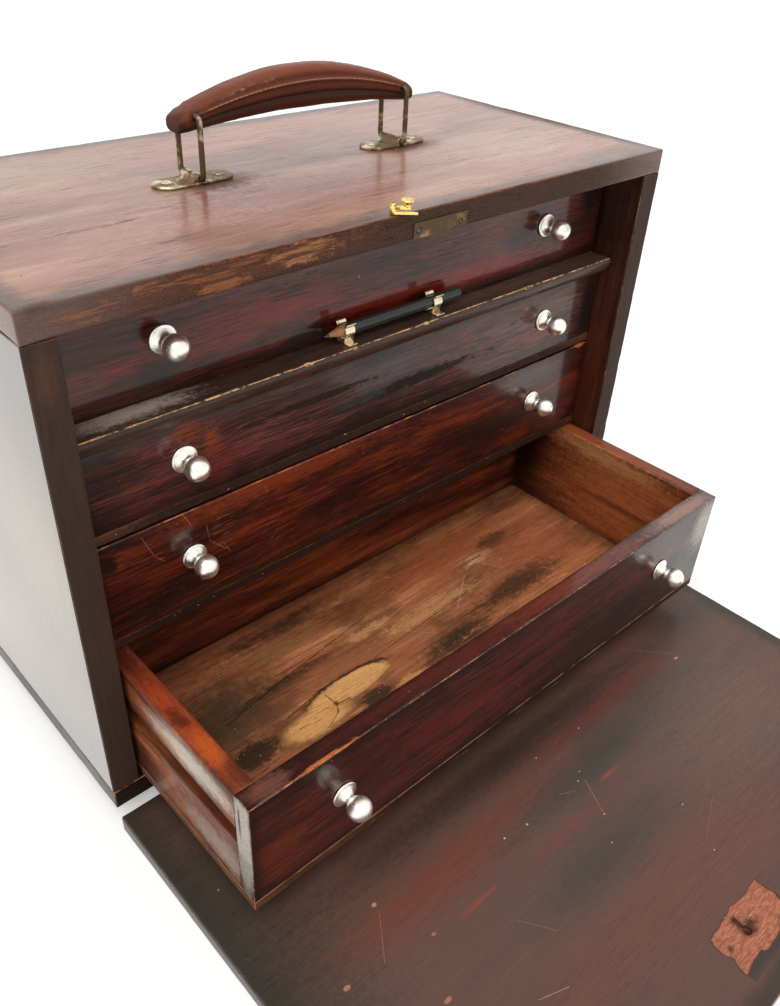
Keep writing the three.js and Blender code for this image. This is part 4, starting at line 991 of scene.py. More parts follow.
# White specks on the flap: x, y, width
flapSpecks = (
    (-3.8, -85.5, 0.5), (9.4, -110.4, 0.45), (2.9, -114.4, 0.6), (-4.4, -140.0, 0.5),
    (-46.0, -114.0, 0.7), (-17.0, -154.9, 0.5), (38.4, -167.7, 0.45), (25.1, -197.8, 0.5),
    (-63.3, -111.5, 0.7), (37.2, -87.9, 0.45))
flapWood = woodMaterial(
    "flapWood", dark=(72, 48, 39), middle=(100, 69, 57), light=(122, 82, 66), figure=0.4, fibres=0.35,
    pores=0.15, grit=0.35, grime=0.75, grimeReach=16.0, grimeColour=(40, 35, 30), stain=0.6, stainScale=9.0,
    stainColour=(66, 58, 51), coat=0.45, coatRoughness=0.24, smearScale=12.0, smooth=0.36, rough=0.56,
    edgeWidth=0.4, edgeColour=(122, 90, 66), scratch=0.02, scratchColour=(186, 136, 108), nickScale=150.0,
    nickShare=0.06, nickSize=0.06, nickColour=(232, 206, 184), darkScratch=0.0, bump=0.00012,
    lines=linesOn(2, 12, [
        ((7, -116.8), (-3.6, -138.7), 0.3, (176, 120, 92)),
        ((-14, -113), (-4, -118), 0.25, (150, 128, 112)), ((-72, -246), (-92, -236), 0.3, (176, 140, 116)),
        ((120, -60), (150, -92), 0.2, (150, 116, 98)), ((-166, -120), (-150, -98), 0.25, (160, 110, 84)),
        ((-96, -150), (-84, -168), 0.25, (150, 100, 80)), ((60, -176), (30, -190), 0.2, (140, 104, 88)),
        ((-190, -180), (-160, -176), 0.25, (150, 112, 90)),
        ((-119.7, -185.2), (-103, -191.2), 0.35, (170, 140, 110)),
    ] + [((x, y), (x + 0.6, y), width, (226, 214, 196)) for x, y, width in flapSpecks]),
    marks=[
        ("tint", (170, 74, 54), 0.85, (22, -123.6, 12), (13, 1.8, 3), 0.8, 0.7, 0.8),
        ("tint", (150, 70, 52), 0.75, (-104, -128.5, 12), (22, 2.4, 3), 0.9, 0.7, 0.8),
        *onFace(2, 12, 4, [
            ("tint", (128, 60, 36), 0.7, (-100, -106), (150, 22), 0.9, 0.95, 1.2),
            ("tint", (112, 50, 34), 0.6, (60, -84), (130, 12), 0.9, 0.95, 1.2),
            ("tint", (122, 74, 60), 0.6, (10, -200), (200, 40), 0.9, 0.9, 0.5),
            ("tint", (124, 64, 50), 0.45, (-30, -132), (70, 5), 0.9, 0.9, 0.6),
            ("tint", (112, 66, 50), 0.5, (-60, -196), (120, 22), 0.9, 0.9, 0.5),
            ("tint", (58, 60, 50), 0.8, (20, -112), (130, 18), 0.9, 0.9, 0.4),
            ("tint", (62, 60, 50), 0.7, (-30, -158), (90, 24), 0.9, 0.9, 0.4),
        ]),
        ("matte", (58, 56, 48), 0.92, (-232, -70, 12), (84, 230, 6), 0.8, 0.95, 0.4),
        *onFace(2, 12, 4, [
            ("tint", (130, 96, 80), 0.55, (130, -150), (120, 70), 0.9, 0.9, 0.4),
            # painted shadow beside the drawer's right end, and a painted reflection of the dark drawer front
            # in a strip just in front of it
            ("tint", (56, 50, 44), 0.7, (190, -70), (60, 26), 0.9, 0.9, 0.4),
            ("tint", (34, 24, 22), 0.7, (-20, -72), (200, 16), 0.8, 0.9, 0.4),
        ]),
        *onFace(2, 12, 2, [
            ("bare", (214, 158, 128), 0.9, (-148.9, -92.3), (2.0, 1.3), 0.6, 0.4),
            ("bare", (198, 140, 110), 0.9, (-188.9, -116.8), (2.4, 1.6), 0.8, 0.4),
            ("bare", (190, 136, 110), 0.9, (-135.6, -125.7), (1.8, 1.1), 0.6, 0.4),
            ("bare", (194, 136, 106), 0.9, (-154.5, -154.8), (2.6, 1.6), 0.8, 0.4),
            ("bare", (204, 148, 120), 0.9, (145.5, -93.4), (2.2, 1.1), 0.7, 0.4),
        ]),
    ])


# The scar joins the flap's own material: its attribute shows torn wood, dark round the keyhole
scarColours = {"torn": (152, 88, 66), "fresh": (206, 134, 104), "splinter": (240, 206, 176),
               "stain": (60, 44, 34)}
scarStains = (((-2, -236, 11), (10, 6.5, 3), 0.9), ((-5, -230, 11), (4, 6, 3), 0.8),
              ((-20.9, -235.8, 11), (3, 3, 3), 0.8), ((20, -247, 11), (14, 5, 3), 0.5))


def addScar(material):  # bare wood and stains where the lock was
    tree = NodeTree(material.node_tree)
    shader = next(node for node in tree.raw.nodes if node.type == "BSDF_PRINCIPLED")
    place = next(node for node in tree.raw.nodes if node.type == "TEX_COORD").outputs["Object"]
    tones = {key: srgb(*value) for key, value in scarColours.items()}
    scar = tree.attribute("scar")
    fibres = tree.fade(tree.noise(place, 1.0, 6.0, 0.75, (220, 1100, 1100)), 0.34, 0.66)
    torn = tree.mix(fibres, tones["torn"], tones["fresh"])
    chips = tree.fade(tree.noise(place, 1.0, 4.0, 0.7, (90, 400, 400)), 0.64, 0.7)
    torn = tree.mix(tree.times(chips, 0.7), torn, tones["splinter"])
    for centre, radius, strength in scarStains:
        stain = patchMask(tree, place, place, centre, radius, 1.3, 0.8, 0.4)
        torn = tree.mix(tree.times(stain, strength), torn, tones["stain"])
    colour, coat, roughness = (shader.inputs[name].links[0].from_socket
                               for name in ("Base Color", "Coat Weight", "Roughness"))
    tree.fill(shader, {
        "Base Color": tree.mix(scar, colour, torn), "Coat Weight": tree.mixNumber(scar, coat, 0.0),
        "Roughness": tree.mixNumber(scar, roughness, 0.8)})


addScar(flapWood)
print("woods built")


def leatherMaterial():  # pebbled grain from cell walls, dark in the creases and on the underside by painted shade, redder and shinier where rubbed, with painted top light and a painted highlight streak
    material, tree, shader, place = startMaterial("gripLeather")
    crease = tree.attribute("crease")
    rubbed = tree.attribute("rubbed")
    cloud = tree.noise(place, 60.0, 5.0, 0.6, (0.5, 1, 1))
    colour = tree.mix(cloud, srgb(92, 44, 28), srgb(138, 70, 44))
    # rubbed wear with painted top light: the crown and the welt lighter and redder
    colour = tree.mix(tree.times(rubbed, 0.6), colour, srgb(156, 82, 50))
    # painted shade: darker in the creases, the groove, the dimples, the ends and the underside
    colour = tree.mix(tree.times(crease, 0.85), colour, srgb(44, 22, 14))
    # painted highlight: pale scuffs along a streak on the crown's left shoulder and on the welt
    broken = tree.fade(tree.noise(place, 420.0, 4.0, 0.7, (0.4, 1, 1)), 0.4, 0.62)
    scuffHighlights = tree.times(tree.attribute("scuffed"), tree.times(broken, 0.75))
    colour = tree.mix(scuffHighlights, colour, srgb(196, 150, 126))
    cells = tree.add("TexVoronoi", {"Vector": place, "Scale": 1300.0}, feature="DISTANCE_TO_EDGE")
    walls = tree.fade(cells["Distance"], 0.0, 0.16)
    folds = tree.noise(place, 220.0, 4.0, 0.6, (1.6, 0.6, 0.6))
    smears = tree.use(smearGroup, {"Vector": place, "Scale": 70.0, "Low": 0.3, "High": 0.52})
    tree.fill(shader, {
        "Base Color": tree.mix(tree.times(tree.minus(1.0, walls), 0.25), colour, srgb(50, 24, 16)),
        "Roughness": tree.minus(smears["Roughness"], tree.times(rubbed, 0.08)),
        "Normal": tree.bump(tree.plus(tree.times(walls, 0.5), folds), 0.00016),
        "Specular IOR Level": 0.12, "Coat Weight": 0.1, "Coat Roughness": 0.22})
    return material


def pencilMaterial():  # dark paint on the barrel, cut wood on the cone, graphite at its tip and core
    material, tree, shader, place = startMaterial("pencilPaint")
    cut = tree.attribute("cut")
    wear = tree.fade(tree.noise(place, 160.0, 4.0, 0.6, (1, 3, 3)), 0.6, 0.72)
    paint = tree.mix(tree.times(wear, 0.35), srgb(38, 46, 42), srgb(96, 102, 88))
    fibres = tree.noise(place, 1.0, 3.0, 0.5, (120, 1500, 1500))
    wood = tree.mix(fibres, srgb(134, 82, 48), srgb(206, 152, 104))
    colour = tree.mix(tree.fade(cut, 0.3, 0.7), paint, wood)
    tree.fill(shader, {
        "Base Color": tree.mix(tree.fade(tree.attribute("lead"), 0.3, 0.7), colour, srgb(70, 70, 74)),
        "Roughness": tree.fade(cut, 0.3, 0.7, 0.3, 0.6),
        "Normal": tree.bump(tree.plus(tree.times(wear, 0.5), tree.times(fibres, cut)), 0.00008)})
    return material


def threadMaterial():  # pale thread, darker in its twist
    material, tree, shader, place = startMaterial("stitchThread")
    twist = tree.noise(place, 1800.0, 2.0)
    tree.fill(shader, {
        "Base Color": tree.mix(twist, srgb(140, 100, 76), srgb(196, 156, 126)), "Roughness": 0.7,
        "Normal": tree.bump(twist, 0.0001)})
    return material


gripLeather, pencilPaint, stitchThread = leatherMaterial(), pencilMaterial(), threadMaterial()
print("leather, paint and thread built")


# Case

caseBoards = {  # node: material, slot, grain axis, changes to the board look
    "case_top": (topWood, "top_wood", 0, {"step": 2.0, "chipDepth": 2.2, "chipShare": 0.42, "arris": 1.1}),
    "case_bottom": (caseWood, "case_wood", 0, {}),
    "case_side_left": (leftSideWood, "case_wood", 2, {"step": 2.5, "chipDepth": 1.4}),
    "case_side_right": (rightSideWood, "case_wood", 2, {"step": 2.0, "chipDepth": 1.8, "chipShare": 0.4}),
    "case_back": (backWood, "panel_wood", 0, {"step": 6.0, "chipDepth": 0.6}),
    "bearer_front": (caseWood, "case_wood", 0, {"step": 5.0}),
    "bearer_rear": (caseWood, "case_wood", 0, {"step": 5.0}),
}
for seed, (node, (material, slot, along, changes)) in enumerate(caseBoards.items()):
    addBoard(node, material, "case", slot, seed + 3, along=along, **changes)
for number in range(1, 5):
    for side in ("left", "right"):
        addBoard(f"runner_{number}_{side}", innerWood, "case", "inner_wood", number + 40, along=1, step=6.0,
                 arris=0.5)
print("case built")


# Drawers

frontLook = {"step": 2.0, "across": 8.0, "arris": 0.7, "chipDepth": 1.1, "chipShare": 0.36}
backLook = {"step": 3.0}
bottomLook = {"step": 3.0, "arris": 0.5, "chipDepth": 0.8}
wallLook = {"arris": 0.8, "step": 3.0, "grooveGap": 0.3, "grooveDepth": 6.0}
drawerWoods = [(firstFront, hiddenPanelWood), (secondFront, hiddenPanelWood), (thirdFront, hiddenPanelWood),
               (lowestFront, panelWood)]  # the front and the bottom of each drawer


# A drawer wall: a rectangle with the runner's groove cut into its outer face, carried along Y
def grooveOutline(low, high, runnerLow, runnerHigh, sign):
    outer, inner = (high[0], low[0]) if sign > 0 else (low[0], high[0])
    foot, top = runnerLow[2] - wallLook["grooveGap"], runnerHigh[2] + wallLook["grooveGap"]
    depth = outer - sign * wallLook["grooveDepth"]
    return [(inner, low[2]), (inner, high[2]), (outer, high[2]), (outer, top), (depth, top), (depth, foot),
            (outer, foot), (outer, low[2])]


for number, (frontWood, bottomWood) in enumerate(drawerWoods, 1):
    body, seed = f"drawer_{number}", 10 * number
    addBoard(f"{body}_front", frontWood, body, "drawer_wood", seed, **frontLook)
    for side, sign in (("left", -1), ("right", 1)):
        node = f"{body}_side_{side}"
        low, high = boxOf(node)
        corners = grooveOutline(low, high, *boxOf(f"runner_{number}_{side}"), sign)
        outline, distances = roundedOutline(corners, wallLook["arris"])
        shell = carriedShell(outline, distances, 1, low[1], high[1], wallLook["arris"], wallLook["step"],
                             seed + 2 + sign)
        addPiece(node + "_worn", [shell], innerWood, body, [node])
    addBoard(f"{body}_back", innerBackWood, body, "inner_wood", seed + 5, **backLook)
    addBoard(f"{body}_bottom", bottomWood, body, "panel_wood", seed + 6, **bottomLook)
print("drawers built")

knobLook = {
    "rose": [(0, 0), (7.3, 0), (7.75, 0.25), (7.85, 0.7), (7.7, 1.15), (7.1, 1.45), (6.5, 1.5), (6.1, 1.75),
             (5.5, 2.15), (4.7, 2.7), (4.0, 3.35), (3.5, 4.1), (3.25, 4.9), (3.2, 5.5), (3.3, 6.05)],
    "neckTop": 6.35, "ballRadius": 7.0, "ballOut": 12.5, "ballSteps": 22, "sides": 56, "dent": 0.14,
    "dentSize": 3.2, "dentsFrom": 7,
}


# A knob's profile: (radius, distance from the drawer front), foot first, with the ball as the arc
# (R cos t, out + R sin t); dents pull the ball's points in by up to "dent"
def knobShell(foot, seed):
    radius, out = knobLook["ballRadius"], knobLook["ballOut"]
    start = math.asin((out - knobLook["neckTop"]) / radius)
    turns = np.linspace(-start, math.pi / 2, knobLook["ballSteps"])[:-1]
    ball = [(radius * math.cos(turn), out + radius * math.sin(turn)) for turn in turns]
    profile = knobLook["rose"] + ball + [(0, out + radius)]
    points, faces, extras = turnedShell(profile, foot, (0, -1, 0), knobLook["sides"], seed)
    dent = (valueNoise(points, knobLook["dentSize"], seed) - 1.0) * knobLook["dent"]
    dented = points + unit(points - (foot[0], foot[1] - out, foot[2])) * dent[:, None]
    onBall = (points[:, 1] < foot[1] - knobLook["dentsFrom"])[:, None]
    return np.where(onBall, dented, points), faces, extras


for number in range(1, 5):
    for side in ("left", "right"):
        node = f"drawer_{number}_knob_{side}"
        low, high = boxOf(node)
        middle = middleOf(low, high)
        foot = (middle[0], high[1], middle[2])
        shell = knobShell(foot, number * 2 + len(side))
        addPiece(node + "_turned", [shell], nickel, f"drawer_{number}", [node])
print("knobs built")

# Pencil ledge, clips and pencil

ledgeLook = {"noseRadius": 2.6, "step": 2.0, "arris": 0.8, "spacing": 3.0, "chip": 0.6, "chipLength": 7.0}
low, high = boxOf("pencil_ledge")
nose = ledgeLook["noseRadius"]
curve = [(low[1] + nose - nose * math.sin(t), high[2] - nose + nose * math.cos(t))
         for t in np.linspace(0, np.pi / 2, 7)]
corners = np.array([(high[1], low[2]), (high[1], high[2])] + curve + [(low[1] + nose * 0.9, low[2])])
outline = []
for corner, ahead in zip(corners, np.roll(corners, -1, axis=0)):
    pieces = max(int(np.linalg.norm(ahead - corner) / ledgeLook["spacing"]), 1)
    outline.extend(corner + (ahead - corner) * piece / pieces for piece in range(pieces))
outline = np.array(outline)
distances = np.linalg.norm(outline - curve[2], axis=1)
points, faces, extras = carriedShell(
    outline, distances, 0, low[0], high[0], ledgeLook["arris"], ledgeLook["step"], 61)
chips = smoothStep(valueNoise(points, ledgeLook["chipLength"], 12), 0.66, 0.9)
chips = chips * smoothStep(extras["arris"], 2.4, 0)
inward = (np.array([0, (low[1] + high[1]) / 2, low[2] + 3]) - points) * (0, 1, 1)
points = points + unit(inward) * (chips * ledgeLook["chip"])[:, None]
shell = (points, faces, {**extras, "chip": chips})
addPiece("pencil_ledge_worn", [shell], ledgeWood, "drawer_1", ["pencil_ledge"])

clipLook = {"strip": 0.6, "neckHalf": 2.9, "neckRise": 2.6, "grip": 35.0, "lipOut": 1.5, "lipRise": 2.5,
            "radius": 4.25, "footReach": 7.1, "footBack": 4.2, "edge": 0.14, "step": 1.7}


# A strip of even thickness: the centre line moved half a thickness to each side of itself
def stripOutline(line, thickness):
    ahead = np.gradient(line, axis=0)
    ahead /= np.linalg.norm(ahead, axis=1, keepdims=True)
    side = np.stack([-ahead[:, 1], ahead[:, 0]], -1) * thickness / 2
    return np.vstack([line + side, (line - side)[::-1]])


# A spring clip across the pencil: waist, arc and lip of one arm, mirrored, over a flat foot
def clipShells(node):
    low, high = boxOf(node)
    pencilLow, pencilHigh = boxOf("pencil")
    centre = middleOf(pencilLow, pencilHigh)[1:]
    strip, neck, reach = clipLook["strip"], clipLook["neckHalf"], clipLook["footReach"]
    floor = low[2] + strip / 2 - centre[1]
    turns = np.radians(np.linspace(-clipLook["grip"], clipLook["grip"], 15))
    arc = np.stack([np.cos(turns), np.sin(turns)], -1) * clipLook["radius"]
    lip = arc[-1] + np.array([[0.25, 0.9], [0.8, 1.8], [clipLook["lipOut"], clipLook["lipRise"]]])
    waist = np.array([[neck - 0.9, floor], [neck - 0.25, floor + 0.35], [neck, floor + 1.2],
                      [neck - 0.1, floor + clipLook["neckRise"]]])
    arm = np.vstack([waist, arc, lip])
    bow = np.vstack([(arm * (-1, 1))[::-1], arm])
    foot = np.array([[-reach, floor + 0.1], [-reach + 0.6, floor + 0.02], [0, floor],
                     [clipLook["footBack"], floor]])
    outlines = [stripOutline(line + centre, strip) for line in (bow, foot)]
    return [carriedShell(outline, np.full(len(outline), 3.0), 0, low[0], high[0], clipLook["edge"],
                         clipLook["step"]) for outline in outlines]


for side in ("left", "right"):
    node = f"pencil_clip_{side}"
    addPiece(node + "_spring", clipShells(node), clipMetal, "drawer_1", [node])

pencilLook = {"flat": 3.36, "corner": 3.65, "pointLength": 14.0, "leadRadius": 1.0, "tipRadius": 0.35,
              "sides": 72, "endRound": 0.5, "turn": 0.26, "wobble": 0.12}


# The pencil: at each place along X and turn round it, the smaller of a cone and a soft hexagon;
# the hexagon is flat / cos(turn within a side), capped by the round of its corners. The last
# rings close the flat end with the lead in its middle
def pencilShell():
    low, high = boxOf("pencil")
    middle = middleOf(low, high)
    tip, flat, corner = pencilLook["pointLength"], pencilLook["flat"], pencilLook["corner"]
    thin, edge = pencilLook["tipRadius"], pencilLook["endRound"]
    length = high[0] - low[0]
    along = np.concatenate([
        np.linspace(0.0, 1.2, 5) ** 2 / 1.2, np.linspace(1.2, tip + 3, 60)[1:],
        np.linspace(tip + 3, length - 1.0, 40)[1:], length - np.array([0.6, 0.3, 0.12, 0.0])])
    turn = ringTurns(pencilLook["sides"])
    within = (turn + np.pi / 6) % (np.pi / 3) - np.pi / 6
    hexagon = np.minimum(flat / np.cos(within), corner)
    cone = thin + (corner - thin) * np.clip(along / tip, 0, None) ** 0.92
    toEdge = np.maximum(edge - np.clip(length - along, 0, None), 0)
    rounding = edge - np.sqrt(np.maximum(edge ** 2 - toEdge ** 2, 0))
    spots = np.stack(np.broadcast_arrays(along[:, None], turn * 3, 0), -1)
    wobble = pencilLook["wobble"] * (valueNoise(spots, 2.0, 4) - 0.5)
    coned = cone[:, None] + wobble * (along[:, None] > 2)
    radius = np.minimum(coned, hexagon - rounding[:, None])
    radius = np.vstack([radius, np.outer([0.62, 0.30, 0.29, 0.01], np.full(len(turn), flat))])
    x = np.concatenate([along + low[0], np.full(4, high[0])])[:, None]
    angle = turn + pencilLook["turn"]
    points = np.stack([np.broadcast_to(x, radius.shape), middle[1] + radius * np.cos(angle),
                       middle[2] + radius * np.sin(angle)], -1)
    cut = np.vstack([coned < hexagon, np.ones((4, len(turn)))])
    lead = np.repeat(np.concatenate([cone < pencilLook["leadRadius"] + 0.15, [0, 0, 1, 1]]), len(turn))
    return points.reshape(-1, 3), tubeFaces(*radius.shape), {"cut": cut.ravel(), "lead": lead}


addPiece("pencil_cut", [pencilShell()], pencilPaint, "pencil", ["pencil"])
print("ledge, clips and pencil built")


# Flap, with the scar and the keyhole of its lost lock

flapLook = {"step": 2.5, "across": 8.0, "arris": 0.9, "chipDepth": 1.0, "chipShare": 0.34}
scarLook = {"depth": 0.8, "width": 53.0, "height": 26.0, "inset": 16.0, "holeRadius": 2.6, "slotWidth": 2.4,
            "slotLength": 9.0, "holeShift": 4.5, "tornFrom": 0.15, "tornFull": 0.45, "tornDepth": 2.2}


# The scar's cutter: a slab whose rim wanders in and out and whose underside is rough, with
# rim = half size + noise and depth = scar depth (0.75 to 1.2); powers keep the middle still
def scarCutter(low, high):
    half = np.array([scarLook["width"], scarLook["height"]]) / 2
    centre = np.array([0.0, low[1] + scarLook["inset"] + half[1]])
    across = np.linspace(-1, 1, 61)
    u, v = np.meshgrid(across, across[::2], indexing="ij")
    flat = np.stack([u * half[0], v * half[1]], -1) + centre
    level = np.zeros(u.shape + (1,))
    rim = valueNoise(np.concatenate([flat, level], -1), 5.0, 21) - 0.5
    step = (flat[..., 0] < -8) * 1.6 + (flat[..., 0] > 12) * (flat[..., 1] < centre[1]) * 1.2
    flat = flat + np.stack([u ** 5 * rim * 4.0, v ** 3 * (rim * 3.0 - step)], -1)
    rough = valueNoise(np.concatenate([flat / (4.0, 1.0), level], -1), 1.1, 8)
    floor = high[2] - scarLook["depth"] * (0.75 + 0.45 * rough)
    ceiling = level + high[2] + 1.5
    return closedSlab(np.concatenate([flat, floor[..., None]], -1), np.concatenate([flat, ceiling], -1))


def closedSlab(lowRows, highRows):  # two grids of the same size joined round their rims
    rows, columns = lowRows.shape[:2]
    number = np.arange(rows * columns).reshape(rows, columns)
    lowFaces = gridFaces(rows, columns, closed=False)
    highFaces = lowFaces[:, ::-1] + rows * columns
    rim = np.concatenate([number[0, :-1], number[:-1, -1], number[-1, :0:-1], number[:0:-1, 0]])
    nextRim = np.roll(rim, -1)
    walls = np.stack([rim, nextRim, nextRim + rows * columns, rim + rows * columns], -1)
    points = np.vstack([lowRows.reshape(-1, 3), highRows.reshape(-1, 3)])
    return points, [lowFaces, highFaces, walls], {}


def cutMesh(name, shell, cutters):  # takes each cutter's body away from the shell and keeps only the result
    board = addObject(name + "Blank", makeMesh(name, [shell]))
    things = [board]
    for index, cutter in enumerate(cutters):
        tool = addObject(f"{name}Cutter{index}", makeMesh(f"{name}Cutter{index}", [cutter]))
        change = board.modifiers.new(f"cut{index}", "BOOLEAN")
        change.operation = "DIFFERENCE"
        change.solver = "EXACT"
        change.object = tool
        things.append(tool)
    bpy.context.view_layer.update()
    result = bpy.data.meshes.new_from_object(board.evaluated_get(bpy.context.evaluated_depsgraph_get()))
    result.name = name
    for thing in things:
        data = thing.data
        bpy.data.objects.remove(thing)
        bpy.data.meshes.remove(data)
    result.materials.clear()
    return result


low, high = boxOf("flap")
keyX, keyY = -scarLook["holeShift"], low[1] + scarLook["inset"] + scarLook["height"] / 2
half, radius = scarLook["slotWidth"] / 2, scarLook["holeRadius"]
opening = math.asin(half / radius)
arc = np.linspace(np.pi / 2 + opening, 2.5 * np.pi - opening, 26)
keyOutline = [(keyX + radius * math.cos(t), keyY + radius * math.sin(t)) for t in arc]
keyOutline += [(keyX + half, keyY + scarLook["slotLength"]), (keyX - half, keyY + scarLook["slotLength"])]
keyOutline = np.array(keyOutline)
keyCutter = carriedShell(keyOutline, np.full(len(keyOutline), 9.0), 2, low[2] - 3, high[2] + 3, 0.01, 9.0)
board = boardShell(low, high, {**boardLook, **flapLook}, 77)
flapMesh = cutMesh("flap_worn", board, [scarCutter(low, high), keyCutter])
flapMesh.polygons.foreach_set("use_smooth", np.full(len(flapMesh.polygons), True))
flapMesh.set_sharp_from_angle(angle=math.radians(50))
spots = np.zeros(len(flapMesh.vertices) * 3, dtype=np.float32)
flapMesh.vertices.foreach_get("co", spots)
spots = spots.reshape(-1, 3) / mm
inScar = (np.abs(spots[:, 0]) < scarLook["width"] / 2 + 3) & (spots[:, 1] < low[1] + 50) & (spots[:, 2] > 6)
sunk = smoothStep(spots[:, 2], high[2] - scarLook["tornFrom"], high[2] - scarLook["tornFull"])
scarShare = np.where(inScar, sunk, 0) * (spots[:, 2] > high[2] - scarLook["depth"] * scarLook["tornDepth"])
flapMesh.attributes.new("scar", "FLOAT", "POINT").data.foreach_set("value", scarShare.astype(np.float32))
addPiece("flap_worn", flapMesh, flapWood, "flap", ["flap"])
print(f"flap built, torn share {scarShare.mean():.3f} of {len(spots)} points")


# Hardware

# Hinges keep their CAD shape, with countersunk screws beside the knuckles: how far the screws' feet stand
# from the leaf's lowest corner in Y, the level they stand on, and the way they face
hingeLook = {"screwRadius": 2.6, "places": (-22.0, 0.0, 22.0), "caseIn": 14.0, "caseDown": 1.35,
             "flapIn": 1.15, "flapUp": 4.2}
for side in ("left", "right"):
    for part in ("case", "flap"):
        node = f"hinge_{part}_leaf_{side}"
        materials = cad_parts[node].data.materials
        materials.clear()
        materials.append(steel)
        low, high = boxOf(node)
        y, z, axis = low[1] + hingeLook["caseIn"], high[2] - hingeLook["caseDown"], (0, 0, -1)
        if part == "flap":
            y, z, axis = low[1] + hingeLook["flapIn"], low[2] + hingeLook["flapUp"], (0, 1, 0)
        screws = [screwShell((middleOf(low, high)[0] + place, y, z), axis, hingeLook["screwRadius"], index)
                  for index, place in enumerate(hingeLook["places"])]
        addPiece(f"{node}_screws", screws, steel, part)

strikeLook = {"step": 1.5, "across": 1.5, "arris": 0.22, "chipDepth": 0.3}
strikeScrews = {"inset": 4.6, "radius": 2.5, "sunk": 0.1}
low, high = boxOf("strike_plate")
plate = boardShell(low, high, {**boardLook, **strikeLook}, 4)
addPiece("strike_plate_aged", [plate], agedBrass, "case", ["strike_plate"])
for name, x, turn, metal in (("left", low[0] + strikeScrews["inset"], 0.4, steel),
                             ("right", high[0] - strikeScrews["inset"], 2.6, agedBrass)):
    place = (x, low[1] - strikeScrews["sunk"], middleOf(low, high)[2])
    screw = screwShell(place, (0, -1, 0), strikeScrews["radius"], turn)
    addPiece(f"strike_screw_{name}", [screw], metal, "case")

# Turn catch: a dished knob on an arm over a tapered tongue, all on one boss round the pin. Profiles are
# (radius, height)
catchLook = {
    "pin": [(0, 0), (0.9, 0), (0.9, -0.75), (1.5, -0.7), (1.5, -0.3), (1.2, -0.06), (0, 0)],
    "knob": [(0, 0), (1.8, 0), (1.75, 0.7), (1.7, 1.2), (2.0, 1.9), (2.7, 2.5), (3.4, 2.95), (3.6, 3.2),
             (3.6, 3.6), (3.45, 3.9), (3.15, 4.0), (2.8, 3.9), (2.2, 3.62), (1.2, 3.45), (0, 3.4)],
    "bore": 1.25, "bossRadius": 1.9, "bossEdge": 0.2, "gap": 0.3, "height": 4.6, "tongueLength": 13.2,
    "tongueRoot": 1.805, "tongueTip": 0.5, "tongueThickness": 1.3, "armLength": 9.6, "armHalf": 1.7,
    "armThickness": 1.6, "knobOut": 7.3, "knobSunk": 0.4, "restTurn": -44.0, "edge": 0.25,
}
pinLow, pinHigh = boxOf("catch_pivot")
pinX, pinY = middleOf(pinLow, pinHigh)[:2]
footZ = pinLow[2]
pinHeight = pinHigh[2] - footZ
# From the third point on, the pin's heights count from its top
pinProfile = [(radius, pinHeight + height if index > 1 else height)
              for index, (radius, height) in enumerate(catchLook["pin"])]
pin = turnedShell(pinProfile, (pinX, pinY, footZ), sides=32)
addPiece("catch_pivot_turned", [pin], brightBrass, "case", ["catch_pivot"])


def turnedFlat(shell, degrees, centreX, centreY):  # turns a shell about an upright line
    points, faces, extras = shell
    angle = math.radians(degrees)
    away = points[:, :2] - (centreX, centreY)
    turned = away @ np.array([[math.cos(angle), math.sin(angle)], [-math.sin(angle), math.cos(angle)]])
    return np.column_stack([turned + (centreX, centreY), points[:, 2]]), faces, extras


gap, height, armHalf = catchLook["gap"], catchLook["height"], catchLook["armHalf"]
root, tip, reach = catchLook["tongueRoot"], catchLook["tongueTip"], catchLook["tongueLength"]
tongue = np.array([(0, -root), (reach, -tip), (reach, tip), (0, root)]) + (pinX, pinY)
tongue, tongueReach = roundedOutline(tongue, 0.4, 3, 1.5)
turns = np.linspace(-np.pi / 2, np.pi / 2, 15)
armRound = np.stack([catchLook["armLength"] - armHalf + armHalf * np.cos(turns), armHalf * np.sin(turns)], -1)
arm = np.vstack([[(0, -armHalf)], armRound, [(0, armHalf)]]) + (pinX, pinY)
bore, radius, edge = catchLook["bore"], catchLook["bossRadius"], catchLook["bossEdge"]
boss = [(bore, gap), (radius - edge, gap), (radius, gap + edge), (radius, height - 0.25),
        (radius - edge, height), (bore, height)]
armTop = footZ + height
catchShells = [
    turnedShell(boss, (pinX, pinY, footZ), sides=36),
    carriedShell(tongue, tongueReach, 2, footZ + gap, footZ + gap + catchLook["tongueThickness"],
                 catchLook["edge"], 1.0),
    carriedShell(arm, np.full(len(arm), 3.0), 2, armTop - catchLook["armThickness"], armTop,
                 catchLook["edge"], 1.0),
    turnedShell(catchLook["knob"], (pinX + catchLook["knobOut"], pinY, armTop - catchLook["knobSunk"]),
                sides=40),
]
catchShells = [turnedFlat(shell, catchLook["restTurn"], pinX, pinY) for shell in catchShells]
addPiece("catch_lever_shaped", catchShells, brightBrass, "catch", ["catch_lever"])
print("hinges, strike plate and catch built")


# Carrying handle

handleLook = {
    "plateThickness": 1.6, "edge": 0.55, "barrelRadius": 2.9, "boreRadius": 1.75, "barrelEdge": 0.35,
    "screwOut": 16.5, "screwRadius": 3.3, "screwUp": 0.18, "gableHalf": 6.2, "gableFoot": 1.2,
    "gableTop": 5.0, "gableInset": 1.4, "ridgeHalf": 2.0, "wireRadius": 1.6, "bend": 3.4, "reach": 11.5,
    "legHeight": 32.5, "footEnd": 3.0,
}


def ringShell(profile, centre, axis, sides):  # a closed profile turned about an axis, as a ring
    points, faces, extras = turnedShell(profile, centre, axis, sides)
    around = np.arange(sides)
    following = np.roll(around, -1)
    last = (len(profile) - 1) * sides
    seam = np.stack([last + around, last + following, following, around], -1)
    return points, [faces[0], seam], extras


